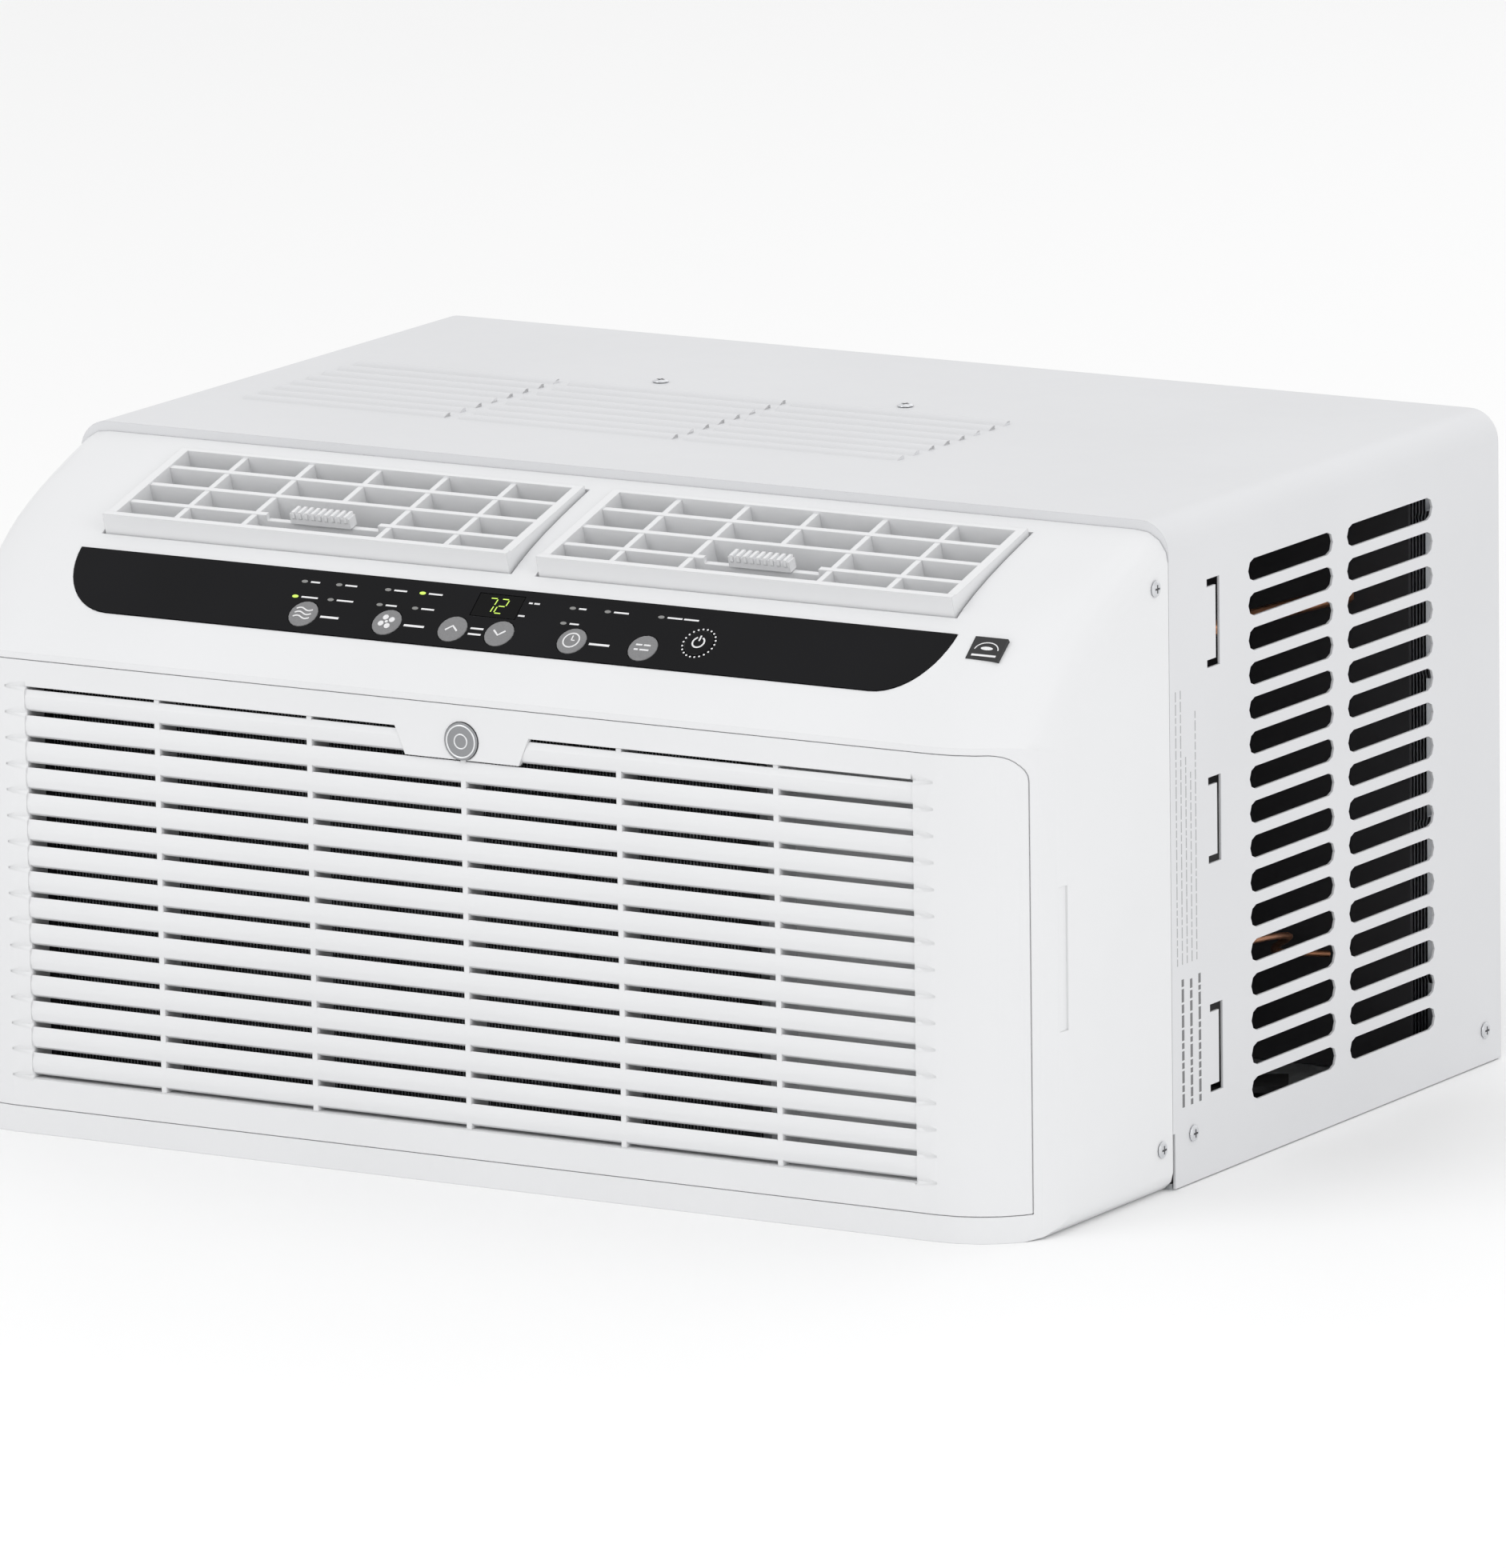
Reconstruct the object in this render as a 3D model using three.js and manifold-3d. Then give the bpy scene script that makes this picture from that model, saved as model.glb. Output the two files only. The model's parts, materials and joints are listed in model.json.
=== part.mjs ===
// Window air conditioner: a sheet-metal case and base pan with a moulded front, a drop-down
// intake grille, two tilting outlet baskets, a push-button strip and the refrigeration parts inside.
// Millimetres. X runs to the right, Y to the back and Z up. Lengths along Y are given from the
// front plane, and the last group moves the origin to the middle of the underside.
import * as THREE from 'three';
import { mergeVertices } from 'three/addons/utils/BufferGeometryUtils.js';
import { ConvexGeometry } from 'three/addons/geometries/ConvexGeometry.js';
import Module from 'manifold-3d';

const wasm = await Module();
wasm.setup();

// Overall sizes
const HALF_WIDTH = 298.5;      // case and front, without the screw heads
const HEAD_HEIGHT = 1.5;       // screw heads stand this far out of the sheet
const DEPTH = 463.5;
const TOP = 317;
const SEAM = 140.6;            // where the moulded front meets the case
const SHEET = 1.2;             // case and base pan steel
const WALL = 2.6;              // moulded plastic
const GAP = 0.35;              // clearance between touching pieces

// Moulded front
const PLAN_RADIUS = 46;
const EDGE_RADIUS = 15;        // long top edges of case and front
const FOOT_RADIUS = 9;
const CREASE = 234;            // height where the upright face turns into the curved top
const FRONT_TOP = 312.5;

// Intake grille
const GRILLE_HALF = 291;
const GRILLE_LOW = 13;
const GRILLE_HIGH = 229;
const SLOT_HALF = 242;
const SLOT_PITCH = 12.54;
const SLOT_COUNT = 16;
const FIRST_SLOT = 216.2;      // upper edge of the highest slot is just above this
const SLOT_GAP = 1.64;
const BAR_PITCH = 84.4;
const BADGE_RADIUS = 9;
const BADGE_PROUD = 0.8;
const BADGE_Z = 212;

// Control strip and outlet baskets: tilt of each chord and its middle point
const STRIP_TILT = THREE.MathUtils.degToRad(40.2);
const STRIP_MIDDLE = [34.2, 263.2];
const STRIP_HALF_HEIGHT = 18.5;
const OUTLET_TILT = THREE.MathUtils.degToRad(21.5);
const OUTLET_MIDDLE = [93, 295.3];
const BASKET_TILT = THREE.MathUtils.degToRad(16.5);     // resting with the front lip a little raised
const BASKET_MIDDLE = [91.9, 298.3];
const BASKET_WIDTH = 224;
const BASKET_LENGTH = 74;
const BASKET_CENTRE_X = 120;

// Shaft line of the double-ended fan motor
const SHAFT_X = -62;
const SHAFT_Z = 146;

const model = new THREE.Group();

// --- Solids and materials -------------------------------------------------------------------

function solid(geometry) {
  const bare = geometry.clone();
  bare.deleteAttribute('normal');
  bare.deleteAttribute('uv');
  const merged = mergeVertices(bare, 1e-4);
  const mesh = new wasm.Mesh({
    numProp: 3,
    vertProperties: new Float32Array(merged.attributes.position.array),
    triVerts: new Uint32Array(merged.index.array),
  });
  return new wasm.Manifold(mesh);
}

function surface(manifold) {
  const mesh = manifold.getMesh();
  const geometry = new THREE.BufferGeometry();
  geometry.setAttribute('position', new THREE.BufferAttribute(mesh.vertProperties, 3));
  geometry.setIndex(new THREE.BufferAttribute(mesh.triVerts, 1));
  return geometry;
}

function join(pieces) {
  return pieces.map((piece) => (piece.isBufferGeometry ? solid(piece) : piece))
    .reduce((sum, piece) => sum.add(piece));
}

function cut(body, cutters) {
  const start = body.isBufferGeometry ? solid(body) : body;
  return cutters.map((piece) => (piece.isBufferGeometry ? solid(piece) : piece))
    .reduce((rest, piece) => rest.subtract(piece), start);
}

function material(color, roughness, metalness = 0) {
  return new THREE.MeshStandardMaterial({ color, roughness, metalness });
}

const FINISH = {
  white: () => material('#eceded', 0.45),
  paint: () => material('#dcdde0', 0.5),
  steel: () => material('#b4b7ba', 0.4, 0.9),
  copper: () => material('#b5673a', 0.35, 1),
  fins: () => material('#8f9498', 0.45, 0.9),
  black: () => material('#0b0b0c', 0.12),
  darkPlastic: () => material('#2a2b2d', 0.6),
  grey: () => material('#8d8f92', 0.45),
  enamel: () => material('#151617', 0.35, 0.2),
  board: () => material('#1f5a3a', 0.6),
  rubber: () => material('#1b1b1c', 0.85),
};

function addPiece(name, shape, finish, parent = model) {
  const geometry = shape.isBufferGeometry ? shape : surface(shape);
  const mesh = new THREE.Mesh(geometry, finish());
  mesh.name = name;
  parent.add(mesh);
  return mesh;
}

function block(x0, x1, y0, y1, z0, z1) {
  const geometry = new THREE.BoxGeometry(x1 - x0, y1 - y0, z1 - z0);
  geometry.translate((x0 + x1) / 2, (y0 + y1) / 2, (z0 + z1) / 2);
  return geometry;
}

// A closed outline of [across, up] points as a shape
function outline(points) {
  return new THREE.Shape(points.map(([a, b]) => new THREE.Vector2(a, b)));
}

const AXES_X = new THREE.Matrix4().set(0, 0, 1, 0, 1, 0, 0, 0, 0, 1, 0, 0, 0, 0, 0, 1);
const AXES_Y = new THREE.Matrix4().set(1, 0, 0, 0, 0, 0, -1, 0, 0, 1, 0, 0, 0, 0, 0, 1);

function prism(shape, length, steps = 6) {
  return new THREE.ExtrudeGeometry(shape, { depth: length, bevelEnabled: false, curveSegments: steps });
}

// (Y, Z) outline carried along X
function prismX(shape, x0, x1, steps) {
  return prism(shape, x1 - x0, steps).applyMatrix4(AXES_X).translate(x0, 0, 0);
}

// (X, Z) outline carried along Y
function prismY(shape, y0, y1, steps) {
  return prism(shape, y1 - y0, steps).applyMatrix4(AXES_Y).translate(0, y1, 0);
}

// (X, Y) outline carried along Z
function prismZ(shape, z0, z1, steps) {
  return prism(shape, z1 - z0, steps).translate(0, 0, z0);
}

// [radius, height] profile turned about the vertical axis
function turned(profile, sides) {
  return new THREE.LatheGeometry(profile.map(([r, h]) => new THREE.Vector2(r, h)), sides);
}

function rod(radius, y0, y1, sides, x = 0, z = 0) {
  return new THREE.CylinderGeometry(radius, radius, y1 - y0, sides).translate(x, (y0 + y1) / 2, z);
}

function bentTube(points, radius, steps) {
  const corners = points.map((p) => new THREE.Vector3(...p));
  const path = new THREE.CatmullRomCurve3(corners, false, 'centripetal');
  const ring = new THREE.Shape();
  ring.absarc(0, 0, radius, 0, Math.PI * 2);
  return new THREE.ExtrudeGeometry(ring, { steps, extrudePath: path, curveSegments: 4, bevelEnabled: false });
}

// --- Moulded front --------------------------------------------------------------------------

// Side view of the curved top, from the crease back to the seam
function topCurve(inset) {
  const curve = new THREE.CubicBezierCurve(
    new THREE.Vector2(3, CREASE + 1),
    new THREE.Vector2(47.7, 277),
    new THREE.Vector2(50, 285),
    new THREE.Vector2(SEAM, FRONT_TOP),
  );
  return curve.getPoints(12).map((p) => [p.x + inset, p.y - inset]);
}

// The front is lofted from side views along X: each is pushed back by the plan corner, lowered
// by the rounded top edge and lifted by the small foot radius. An inset gives the inner wall.
function frontSolid(inset, rear) {
  const half = HALF_WIDTH - inset;
  const bend = PLAN_RADIUS - inset;
  const stations = [];
  for (let k = 0; k <= 7; k += 1) {
    stations.push(half - bend + bend * Math.sin((k / 7) * (Math.PI / 2)));
  }
  const across = [...stations.map((x) => -x).reverse(), ...stations];
  const drop = (x, radius) => {
    const over = Math.max(0, x - (half - radius));
    return radius - Math.sqrt(Math.max(0, radius * radius - over * over));
  };
  const positions = [];
  let ring = 0;
  for (const x of across) {
    const back = drop(Math.abs(x), bend);
    const lower = drop(Math.abs(x), EDGE_RADIUS);
    const lift = drop(Math.abs(x), FOOT_RADIUS);
    const view = [[rear, inset], [inset, inset], [inset, CREASE - 1.5 - inset], ...topCurve(inset)];
    if (rear > SEAM + inset) {
      view.push([rear, FRONT_TOP - inset]);
    }
    const span = rear - inset;
    for (const [y, z] of view) {
      const push = back * (1 - (y - inset) / span);
      const height = (z - inset) / (FRONT_TOP - inset);
      positions.push(x, y + push, z - lower * height + lift * (1 - height));
    }
    ring = view.length;
  }
  const index = [];
  for (let i = 0; i + 1 < across.length; i += 1) {
    for (let j = 0; j < ring; j += 1) {
      const a = i * ring + j;
      const b = i * ring + ((j + 1) % ring);
      index.push(a, a + ring, b, b, a + ring, b + ring);
    }
  }
  // End caps as fans about the low rear corner of the side view
  const last = (across.length - 1) * ring;
  for (let j = 1; j + 1 < ring; j += 1) {
    index.push(0, j, j + 1);
    index.push(last, last + j + 1, last + j);
  }
  const geometry = new THREE.BufferGeometry();
  geometry.setAttribute('position', new THREE.Float32BufferAttribute(positions, 3));
  geometry.setIndex(index);
  return solid(geometry);
}

// Control strip outline: square upper corners, quarter-ellipse lower corners
function stripOutline(grow) {
  const shape = new THREE.Shape();
  const top = STRIP_HALF_HEIGHT + grow;
  const reach = 239 + grow;
  shape.moveTo(-reach, top);
  shape.absellipse(-208, top, reach - 208, 2 * top, Math.PI, Math.PI * 1.5, false);
  shape.absellipse(208, top, reach - 208, 2 * top, Math.PI * 1.5, Math.PI * 2, false);
  return shape;
}

function tilted(geometry, tilt, [y, z], x = 0) {
  return geometry.clone().rotateX(tilt).translate(x, y, z);
}

const outer = frontSolid(0, SEAM);

// Upright outline of the grille panel, with rounded upper corners
function grilleSpace(grow) {
  const half = GRILLE_HALF + grow;
  const high = GRILLE_HIGH + grow;
  const radius = 13 + grow;
  const shape = new THREE.Shape();
  shape.moveTo(-half, GRILLE_LOW - grow);
  shape.lineTo(half, GRILLE_LOW - grow);
  shape.absarc(half - radius, high - radius, radius, 0, Math.PI / 2, false);
  shape.absarc(-half + radius, high - radius, radius, Math.PI / 2, Math.PI, false);
  return prismY(shape, -5, 24 + grow, 4);
}

const SCREW_RADIUS = 4;
const SIDE_SCREWS = {
  front_upper: [128, 288],
  front_lower: [130, 22],
  case_front: [160, 24],
  case_rear: [447, 17],
};
// Cutter for a round hole through both sides
function crossHole(radius, sides, y, z) {
  const length = 2 * HALF_WIDTH + 20;
  return new THREE.CylinderGeometry(radius, radius, length, sides).rotateZ(Math.PI / 2).translate(0, y, z);
}

const TOP_SCREWS = { left: [-99, 349], right: [40, 345] };

function buildFront() {
  const openings = [
    frontSolid(WALL, SEAM + 12),
    grilleSpace(GAP),
    tilted(prismZ(stripOutline(GAP), -9, 9), STRIP_TILT, STRIP_MIDDLE),
  ];
  for (const side of [-1, 1]) {
    const half = BASKET_WIDTH / 2 + 1.6;
    const reach = BASKET_LENGTH / 2 + 1.4;
    const opening = block(-half, half, -reach, reach, -26, 14);
    openings.push(tilted(opening, OUTLET_TILT, OUTLET_MIDDLE, side * BASKET_CENTRE_X));
  }
  // Hole for the supply cord's bush, low on the left side
  const cordHole = new THREE.CylinderGeometry(9.4, 9.4, 12, 24).rotateZ(Math.PI / 2);
  openings.push(cordHole.translate(-HALF_WIDTH, 112, 34));
  // Finger notches beside the grille
  for (const side of [-1, 1]) {
    const x = side * (HALF_WIDTH + 3);
    openings.push(block(x - 4.1, x + 4.1, 37, 44, 96, 164));
  }
  for (const [y, z] of [SIDE_SCREWS.front_upper, SIDE_SCREWS.front_lower]) {
    openings.push(crossHole(2.4, 8, y, z));
  }
  return cut(outer, openings);
}
addPiece('front_bezel', buildFront(), FINISH.white);

// --- Intake grille --------------------------------------------------------------------------

const hingedFront = new THREE.Group();
model.add(hingedFront);

// Shallow grooves that carry the ends of the slots out into the flat panel
function fadingGrooves(high) {
  const near = SLOT_HALF - 0.5;
  const far = SLOT_HALF + 11;
  const grooves = [];
  for (let row = 0; row < SLOT_COUNT; row += 1) {
    const z = high - 0.6 - row * SLOT_PITCH;
    for (const side of [-1, 1]) {
      const corners = [
        [near, -1, 5], [near, -1, -3.5], [near, 1.7, 0],
        [far, -1, 1.5], [far, -1, -1.5], [far, 0.8, 0],
      ];
      grooves.push(new ConvexGeometry(corners.map(([x, y, dz]) => new THREE.Vector3(side * x, y, z + dz))));
    }
  }
  return grooves;
}

function buildGrille() {
  const shell = outer.intersect(solid(grilleSpace(0))).subtract(frontSolid(3, SEAM + 12));
  const high = FIRST_SLOT + 0.2;
  const low = high - (SLOT_COUNT - 1) * SLOT_PITCH - SLOT_GAP;
  const panel = cut(shell, [block(-SLOT_HALF, SLOT_HALF, -5, 30, low, high), ...fadingGrooves(high)]);
  // Rounded slats, fullest in the middle and drawn back at their lower edge
  const slat = outline([
    [0.3, 7.4], [0.3, 4.4], [1.3, 1.4], [3.6, 0], [4.4, 1], [2.8, 5], [3, 10.2], [1.5, 10.9],
  ]);
  const parts = [];
  for (let row = 1; row < SLOT_COUNT; row += 1) {
    parts.push(prismX(slat, -SLOT_HALF - 0.6, SLOT_HALF + 0.6).translate(0, 0, high - row * SLOT_PITCH));
  }
  for (let bar = -2; bar <= 2; bar += 1) {
    const x = bar * BAR_PITCH;
    parts.push(block(x - 1.4, x + 1.4, 1.2, 16.5, low - 1, high + 1));
  }
  // Rails behind the ends of the slats, and the plate that carries the badge
  for (const side of [-1, 1]) {
    const x = side * (SLOT_HALF + 0.9);
    parts.push(block(x - 1.3, x + 1.3, 1.4, 16.5, low - 1, high + 1));
  }
  parts.push(block(-SLOT_HALF - 1, SLOT_HALF + 1, 1, 16.5, low - 2, low + 0.3));
  parts.push(block(-SLOT_HALF - 1, SLOT_HALF + 1, 1, 16.5, high - 0.3, high + 2));
  const plate = outline([[-37, high + 1], [-31, 203], [31, 203], [37, high + 1]]);
  parts.push(prismY(plate, 0, 3));
  const pocketRadius = BADGE_RADIUS + GAP;
  const pocket = new THREE.CylinderGeometry(pocketRadius, pocketRadius, 4, 24).translate(0, -0.8, BADGE_Z);
  return cut(join([panel, ...parts]), [pocket]);
}
addPiece('intake_grille', buildGrille(), FINISH.white, hingedFront);

// Disc badge a little proud of its plate
const badge = new THREE.CylinderGeometry(BADGE_RADIUS, BADGE_RADIUS, 1.6, 24);
badge.translate(0, 0.8 - BADGE_PROUD, BADGE_Z);
addPiece('badge', badge, FINISH.steel, hingedFront);

const FILTER = { left: -246, right: 146, low: 20, high: 224, front: 18.2, back: 22.2 };

function buildFilterFrame() {
  const { left, right, low, high, front, back } = FILTER;
  const body = block(left, right, front, back, low, high);
  const window = block(left + 6, right - 6, 0, 40, low + 6, high - 6);
  const bars = [1, 2, 3].map((k) => {
    const x = left + (k * (right - left)) / 4;
    return block(x - 1.5, x + 1.5, front, 20.2, low + 3, high - 3);
  });
  return join([cut(body, [window]), ...bars]);
}
addPiece('filter_frame', buildFilterFrame(), FINISH.darkPlastic, hingedFront);
const filterMesh = block(
  FILTER.left + 6.4, FILTER.right - 6.4, 20.6, 21.4, FILTER.low + 6.4, FILTER.high - 6.4,
);
addPiece('filter_mesh', filterMesh, FINISH.darkPlastic, hingedFront);

// --- Control strip --------------------------------------------------------------------------

const strip = new THREE.Group();
strip.position.set(0, ...STRIP_MIDDLE);
strip.rotation.x = STRIP_TILT;
model.add(strip);

const BUTTON_RADIUS = 7.5;
const BUTTON_ROW = -8;         // below the middle of the strip
const BUTTONS = {
  mode: [-103, BUTTON_ROW],
  speed: [-57, BUTTON_ROW],
  temperature_up: [-21, BUTTON_ROW],
  temperature_down: [4.5, BUTTON_ROW],
  timer: [44, BUTTON_ROW],
  filter_reset: [82.5, BUTTON_ROW],
  power: [110, -1.8],
};
const STRIP_TOP = 0.6;         // face of the strip above its chord
const BUTTON_HOLE = BUTTON_RADIUS + GAP;
const buttonHoles = Object.values(BUTTONS).map(([x, y]) => (
  new THREE.CylinderGeometry(BUTTON_HOLE, BUTTON_HOLE, 12, 20).rotateX(Math.PI / 2).translate(x, y, 0)
));
const displayHole = block(-16, 9, 1, 15, -9, 9);
const stripPlate = prismZ(stripOutline(0), STRIP_TOP - 2.4, STRIP_TOP, 10);
addPiece('control_panel', cut(stripPlate, [...buttonHoles, displayHole]), FINISH.black, strip);
const windowPane = block(-16 + GAP, 9 - GAP, 1 + GAP, 15 - GAP, STRIP_TOP - 2.4, STRIP_TOP);
addPiece('display_window', windowPane, FINISH.black, strip);
for (const [name, [x, y]] of Object.entries(BUTTONS)) {
  const cap = turned([
    [0, -2.4], [BUTTON_RADIUS, -2.4], [BUTTON_RADIUS, 0.75], [BUTTON_RADIUS - 0.6, 1.15], [0, 1.35],
  ], 20);
  cap.rotateX(Math.PI / 2);
  addPiece(`button_${name}`, cap, FINISH.grey, strip).position.set(x, y, 0);
}
addPiece('control_board', block(-128, 132, -15, 16, -6.8, -5.2), FINISH.board, strip);

// --- Outlet baskets -------------------------------------------------------------------------

const BASKET_FLOOR = -12;
const COLUMNS = 6;
const ROWS = 4;
const RIB = 1.5;
const GRIP_ROW = -BASKET_LENGTH / 4;     // the cross rib between the two front rows
const VANE_SPACING = BASKET_WIDTH / 5;

function buildBasket() {
  const half = BASKET_WIDTH / 2;
  const reach = BASKET_LENGTH / 2;
  const frame = cut(block(-half, half, -reach, reach, BASKET_FLOOR, 2.2), [
    block(-half + 5, half - 5, -reach + 3, reach - 3, -40, 20),
  ]);
  const parts = [frame, block(-half, half, -reach, -reach + 3.4, BASKET_FLOOR, 3)];
  for (let row = 1; row < ROWS; row += 1) {
    const y = -reach + (row * BASKET_LENGTH) / ROWS;
    parts.push(block(-half + 1, half - 1, y - RIB, y + RIB, BASKET_FLOOR, 1.4));
  }
  for (let column = 1; column < COLUMNS; column += 1) {
    const x = -half + (column * BASKET_WIDTH) / COLUMNS;
    const front = column === COLUMNS / 2 ? 0 : -reach + 1;
    parts.push(block(x - RIB, x + RIB, front, reach - 1, BASKET_FLOOR, 1.2));
  }
  // The cross rib is lowered where the grip slides
  const body = cut(join(parts), [block(-31, 31, GRIP_ROW - 2, GRIP_ROW + 2, -1.5, 10)]);
  return body;
}

// Ribbed thumb grip that straddles the lowered rib
function buildGrip() {
  const ridges = [];
  for (let k = -4; k <= 4; k += 1) {
    ridges.push(block(k * 3.6 - 0.9, k * 3.6 + 0.9, -3.4, 3.4, 2, 5.4));
  }
  return join([block(-16.5, 16.5, -2.9, 2.9, -1.5 + GAP, 4.2), ...ridges]);
}

for (const [side, sign] of [['left', -1], ['right', 1]]) {
  const basket = new THREE.Group();
  basket.position.set(sign * BASKET_CENTRE_X, ...BASKET_MIDDLE);
  basket.rotation.x = BASKET_TILT;
  model.add(basket);
  addPiece(`${side}_outlet_basket`, buildBasket(), FINISH.white, basket);
  const grip = addPiece(`${side}_vane_grip`, buildGrip(), FINISH.white, basket);
  grip.position.set(0, GRIP_ROW, 0);
  for (let k = 0; k < 4; k += 1) {
    const pivot = new THREE.CylinderGeometry(1.6, 1.6, 19, 8).rotateX(Math.PI / 2);
    const vane = join([block(-0.8, 0.8, -21, 19, -8, 9.4), pivot]);
    const piece = addPiece(`${side}_vane_${k + 1}`, vane, FINISH.white, basket);
    piece.position.set((k - 1.5) * VANE_SPACING, 0, BASKET_FLOOR - 10);
  }
}

// --- Sheet-metal case -----------------------------------------------------------------------

function caseOutline(inset) {
  const half = HALF_WIDTH - inset;
  const radius = EDGE_RADIUS - inset;
  const shape = new THREE.Shape();
  shape.moveTo(-half, inset > 0 ? -5 : 0.6);
  shape.lineTo(half, inset > 0 ? -5 : 0.6);
  shape.absarc(half - radius, TOP - inset - radius, radius, 0, Math.PI / 2, false);
  shape.absarc(-half + radius, TOP - inset - radius, radius, Math.PI / 2, Math.PI, false);
  return shape;
}

const SIDE_SLOT = {
  height: 10.8, pitch: 16.5, top: 281, count: 16,
  columns: [[216.8, 298.9], [312.7, 397.2]],
};
const LOUVRE_GROUPS = [[-257, -143], [-135, -16], [-10, 108]];
const LOUVRE = { rows: 8, pitch: 14.4, first: 223, height: 1.7 };

function sideSlot(y0, y1, z, height) {
  const radius = height / 2;
  const shape = new THREE.Shape();
  shape.absarc(y1 - radius, z, radius, -Math.PI / 2, Math.PI / 2, false);
  shape.absarc(y0 + radius, z, radius, Math.PI / 2, Math.PI * 1.5, false);
  return prismX(shape, -HALF_WIDTH - 10, HALF_WIDTH + 10, 2);
}

// Bracket-shaped slots that free a tab for the curtain frames
function tabSlot(low, high) {
  const shape = outline([
    [177, high], [189, high], [189, low], [177, low], [177, low + 3.7],
    [185.3, low + 3.7], [185.3, high - 3.7], [177, high - 3.7],
  ]);
  return prismX(shape, -HALF_WIDTH - 10, HALF_WIDTH + 10);
}

function buildCase() {
  const cutters = [prismY(caseOutline(SHEET), SEAM - 5, DEPTH + 5, 6)];
  for (const [y0, y1] of SIDE_SLOT.columns) {
    for (let row = 0; row < SIDE_SLOT.count; row += 1) {
      cutters.push(sideSlot(y0, y1, SIDE_SLOT.top - row * SIDE_SLOT.pitch, SIDE_SLOT.height));
    }
  }
  for (const [low, high] of [[242, 284], [149, 190], [40, 82]]) {
    cutters.push(tabSlot(low, high));
  }
  for (const [y, z] of [SIDE_SCREWS.case_front, SIDE_SCREWS.case_rear]) {
    cutters.push(crossHole(2.4, 8, y, z));
  }
  for (const [x, y] of Object.values(TOP_SCREWS)) {
    cutters.push(new THREE.CylinderGeometry(2.4, 2.4, 12, 12).rotateX(Math.PI / 2).translate(x, y, TOP));
  }
  // The front edge is set back at the foot of both sides
  cutters.push(block(-400, 400, SEAM - 5, SEAM + 2.2, -5, 27));
  let shell = cut(prismY(caseOutline(0), SEAM + GAP, DEPTH, 6), cutters);
  // Folded rim along the front edge
  const rim = cut(prismY(caseOutline(0), SEAM + GAP, SEAM + GAP + 1.4, 6), [
    prismY(caseOutline(6), SEAM - 5, SEAM + 9, 6),
    block(-400, 400, SEAM - 5, SEAM + 9, -5, 40),
  ]);
  shell = join([shell, rim]);
  // Pressed louvres: a low ridge whose back edge stands open
  const hood = outline([[-4.2, -0.6], [3.2, -0.6], [3.2, LOUVRE.height], [1.2, LOUVRE.height]]);
  const gills = [];
  const openings = [];
  for (const [x0, x1] of LOUVRE_GROUPS) {
    for (let row = 0; row < LOUVRE.rows; row += 1) {
      const y = LOUVRE.first + row * LOUVRE.pitch;
      gills.push(prismX(hood, x0, x1).translate(0, y, TOP));
      openings.push(block(x0 + 3, x1 - 3, y + 0.8, y + 2.4, TOP - 4, TOP + 0.9));
      openings.push(block(x0 + 3, x1 - 3, y + 2, y + 5, TOP + 0.1, TOP + 0.9));
    }
  }
  shell = cut(join([shell, ...gills]), openings);
  return shell;
}
addPiece('cabinet', buildCase(), FINISH.paint);

// --- Base pan -------------------------------------------------------------------------------

const PAN_HALF = HALF_WIDTH - SHEET - GAP - 0.2;
const DRAIN = [205, 425];

function buildPan() {
  const tray = cut(block(-PAN_HALF, PAN_HALF, 26.5, DEPTH - 0.5, 0, 34), [
    block(-PAN_HALF + SHEET, PAN_HALF - SHEET, 27.5 + SHEET, DEPTH - 0.5 - SHEET, 3, 60),
    block(-400, 400, 0, SEAM + 6, 3, 60),
    new THREE.CylinderGeometry(9, 9, 20, 24).rotateX(Math.PI / 2).translate(...DRAIN, 0),
  ]);
  const holes = [];
  for (const [y, z] of [SIDE_SCREWS.case_front, SIDE_SCREWS.case_rear]) {
    holes.push(crossHole(2.4, 8, y, z));
  }
  // Side walls are lower beside the case's air slots
  holes.push(block(-400, 400, 205, 405, 25, 60));
  // The moulded front covers the pan's front edge, so the pan is narrower there
  for (const side of [-1, 1]) {
    const x = side * 330;
    holes.push(block(Math.min(x, side * 280), Math.max(x, side * 280), 0, SEAM + 2, -5, 60));
  }
  return cut(tray, holes);
}
// The front's floor stops short of the pan, which starts behind it
const pan = buildPan().subtract(outer.subtract(frontSolid(WALL + GAP, SEAM + 12)));
addPiece('base_pan', pan, FINISH.steel);
const plug = turned([[0, 0.4], [7, 0.4], [8.6, 2], [8.6, 3.4], [10.5, 3.4], [10.5, 5.4], [0, 5.4]], 16);
addPiece('drain_plug', plug.rotateX(Math.PI / 2), FINISH.rubber).position.set(...DRAIN, 0);

// --- Fasteners and cord bush ----------------------------------------------------------------

function screw(headHeight) {
  const profile = [
    [0, -9], [1.9, -8], [1.9, GAP], [SCREW_RADIUS, GAP], [SCREW_RADIUS, headHeight * 0.55],
    [SCREW_RADIUS * 0.72, headHeight], [0, headHeight],
  ];
  return turned(profile, 12);
}
for (const [name, [y, z]] of Object.entries(SIDE_SCREWS)) {
  for (const [side, sign] of [['left', -1], ['right', 1]]) {
    const piece = addPiece(`${side}_${name}_screw`, screw(HEAD_HEIGHT), FINISH.steel);
    piece.rotation.z = (-sign * Math.PI) / 2;
    piece.position.set(sign * HALF_WIDTH, y, z);
  }
}
for (const [name, [x, y]] of Object.entries(TOP_SCREWS)) {
  const piece = addPiece(`top_${name}_screw`, screw(HEAD_HEIGHT), FINISH.steel);
  piece.rotation.x = Math.PI / 2;
  piece.position.set(x, y, TOP);
}
const bush = turned([[5, -0.4], [9, -0.4], [9, 4], [12.5, 4], [12.5, 9], [5, 9], [5, -0.4]], 16);
const bushPiece = addPiece('cord_bush', bush, FINISH.rubber);
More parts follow.
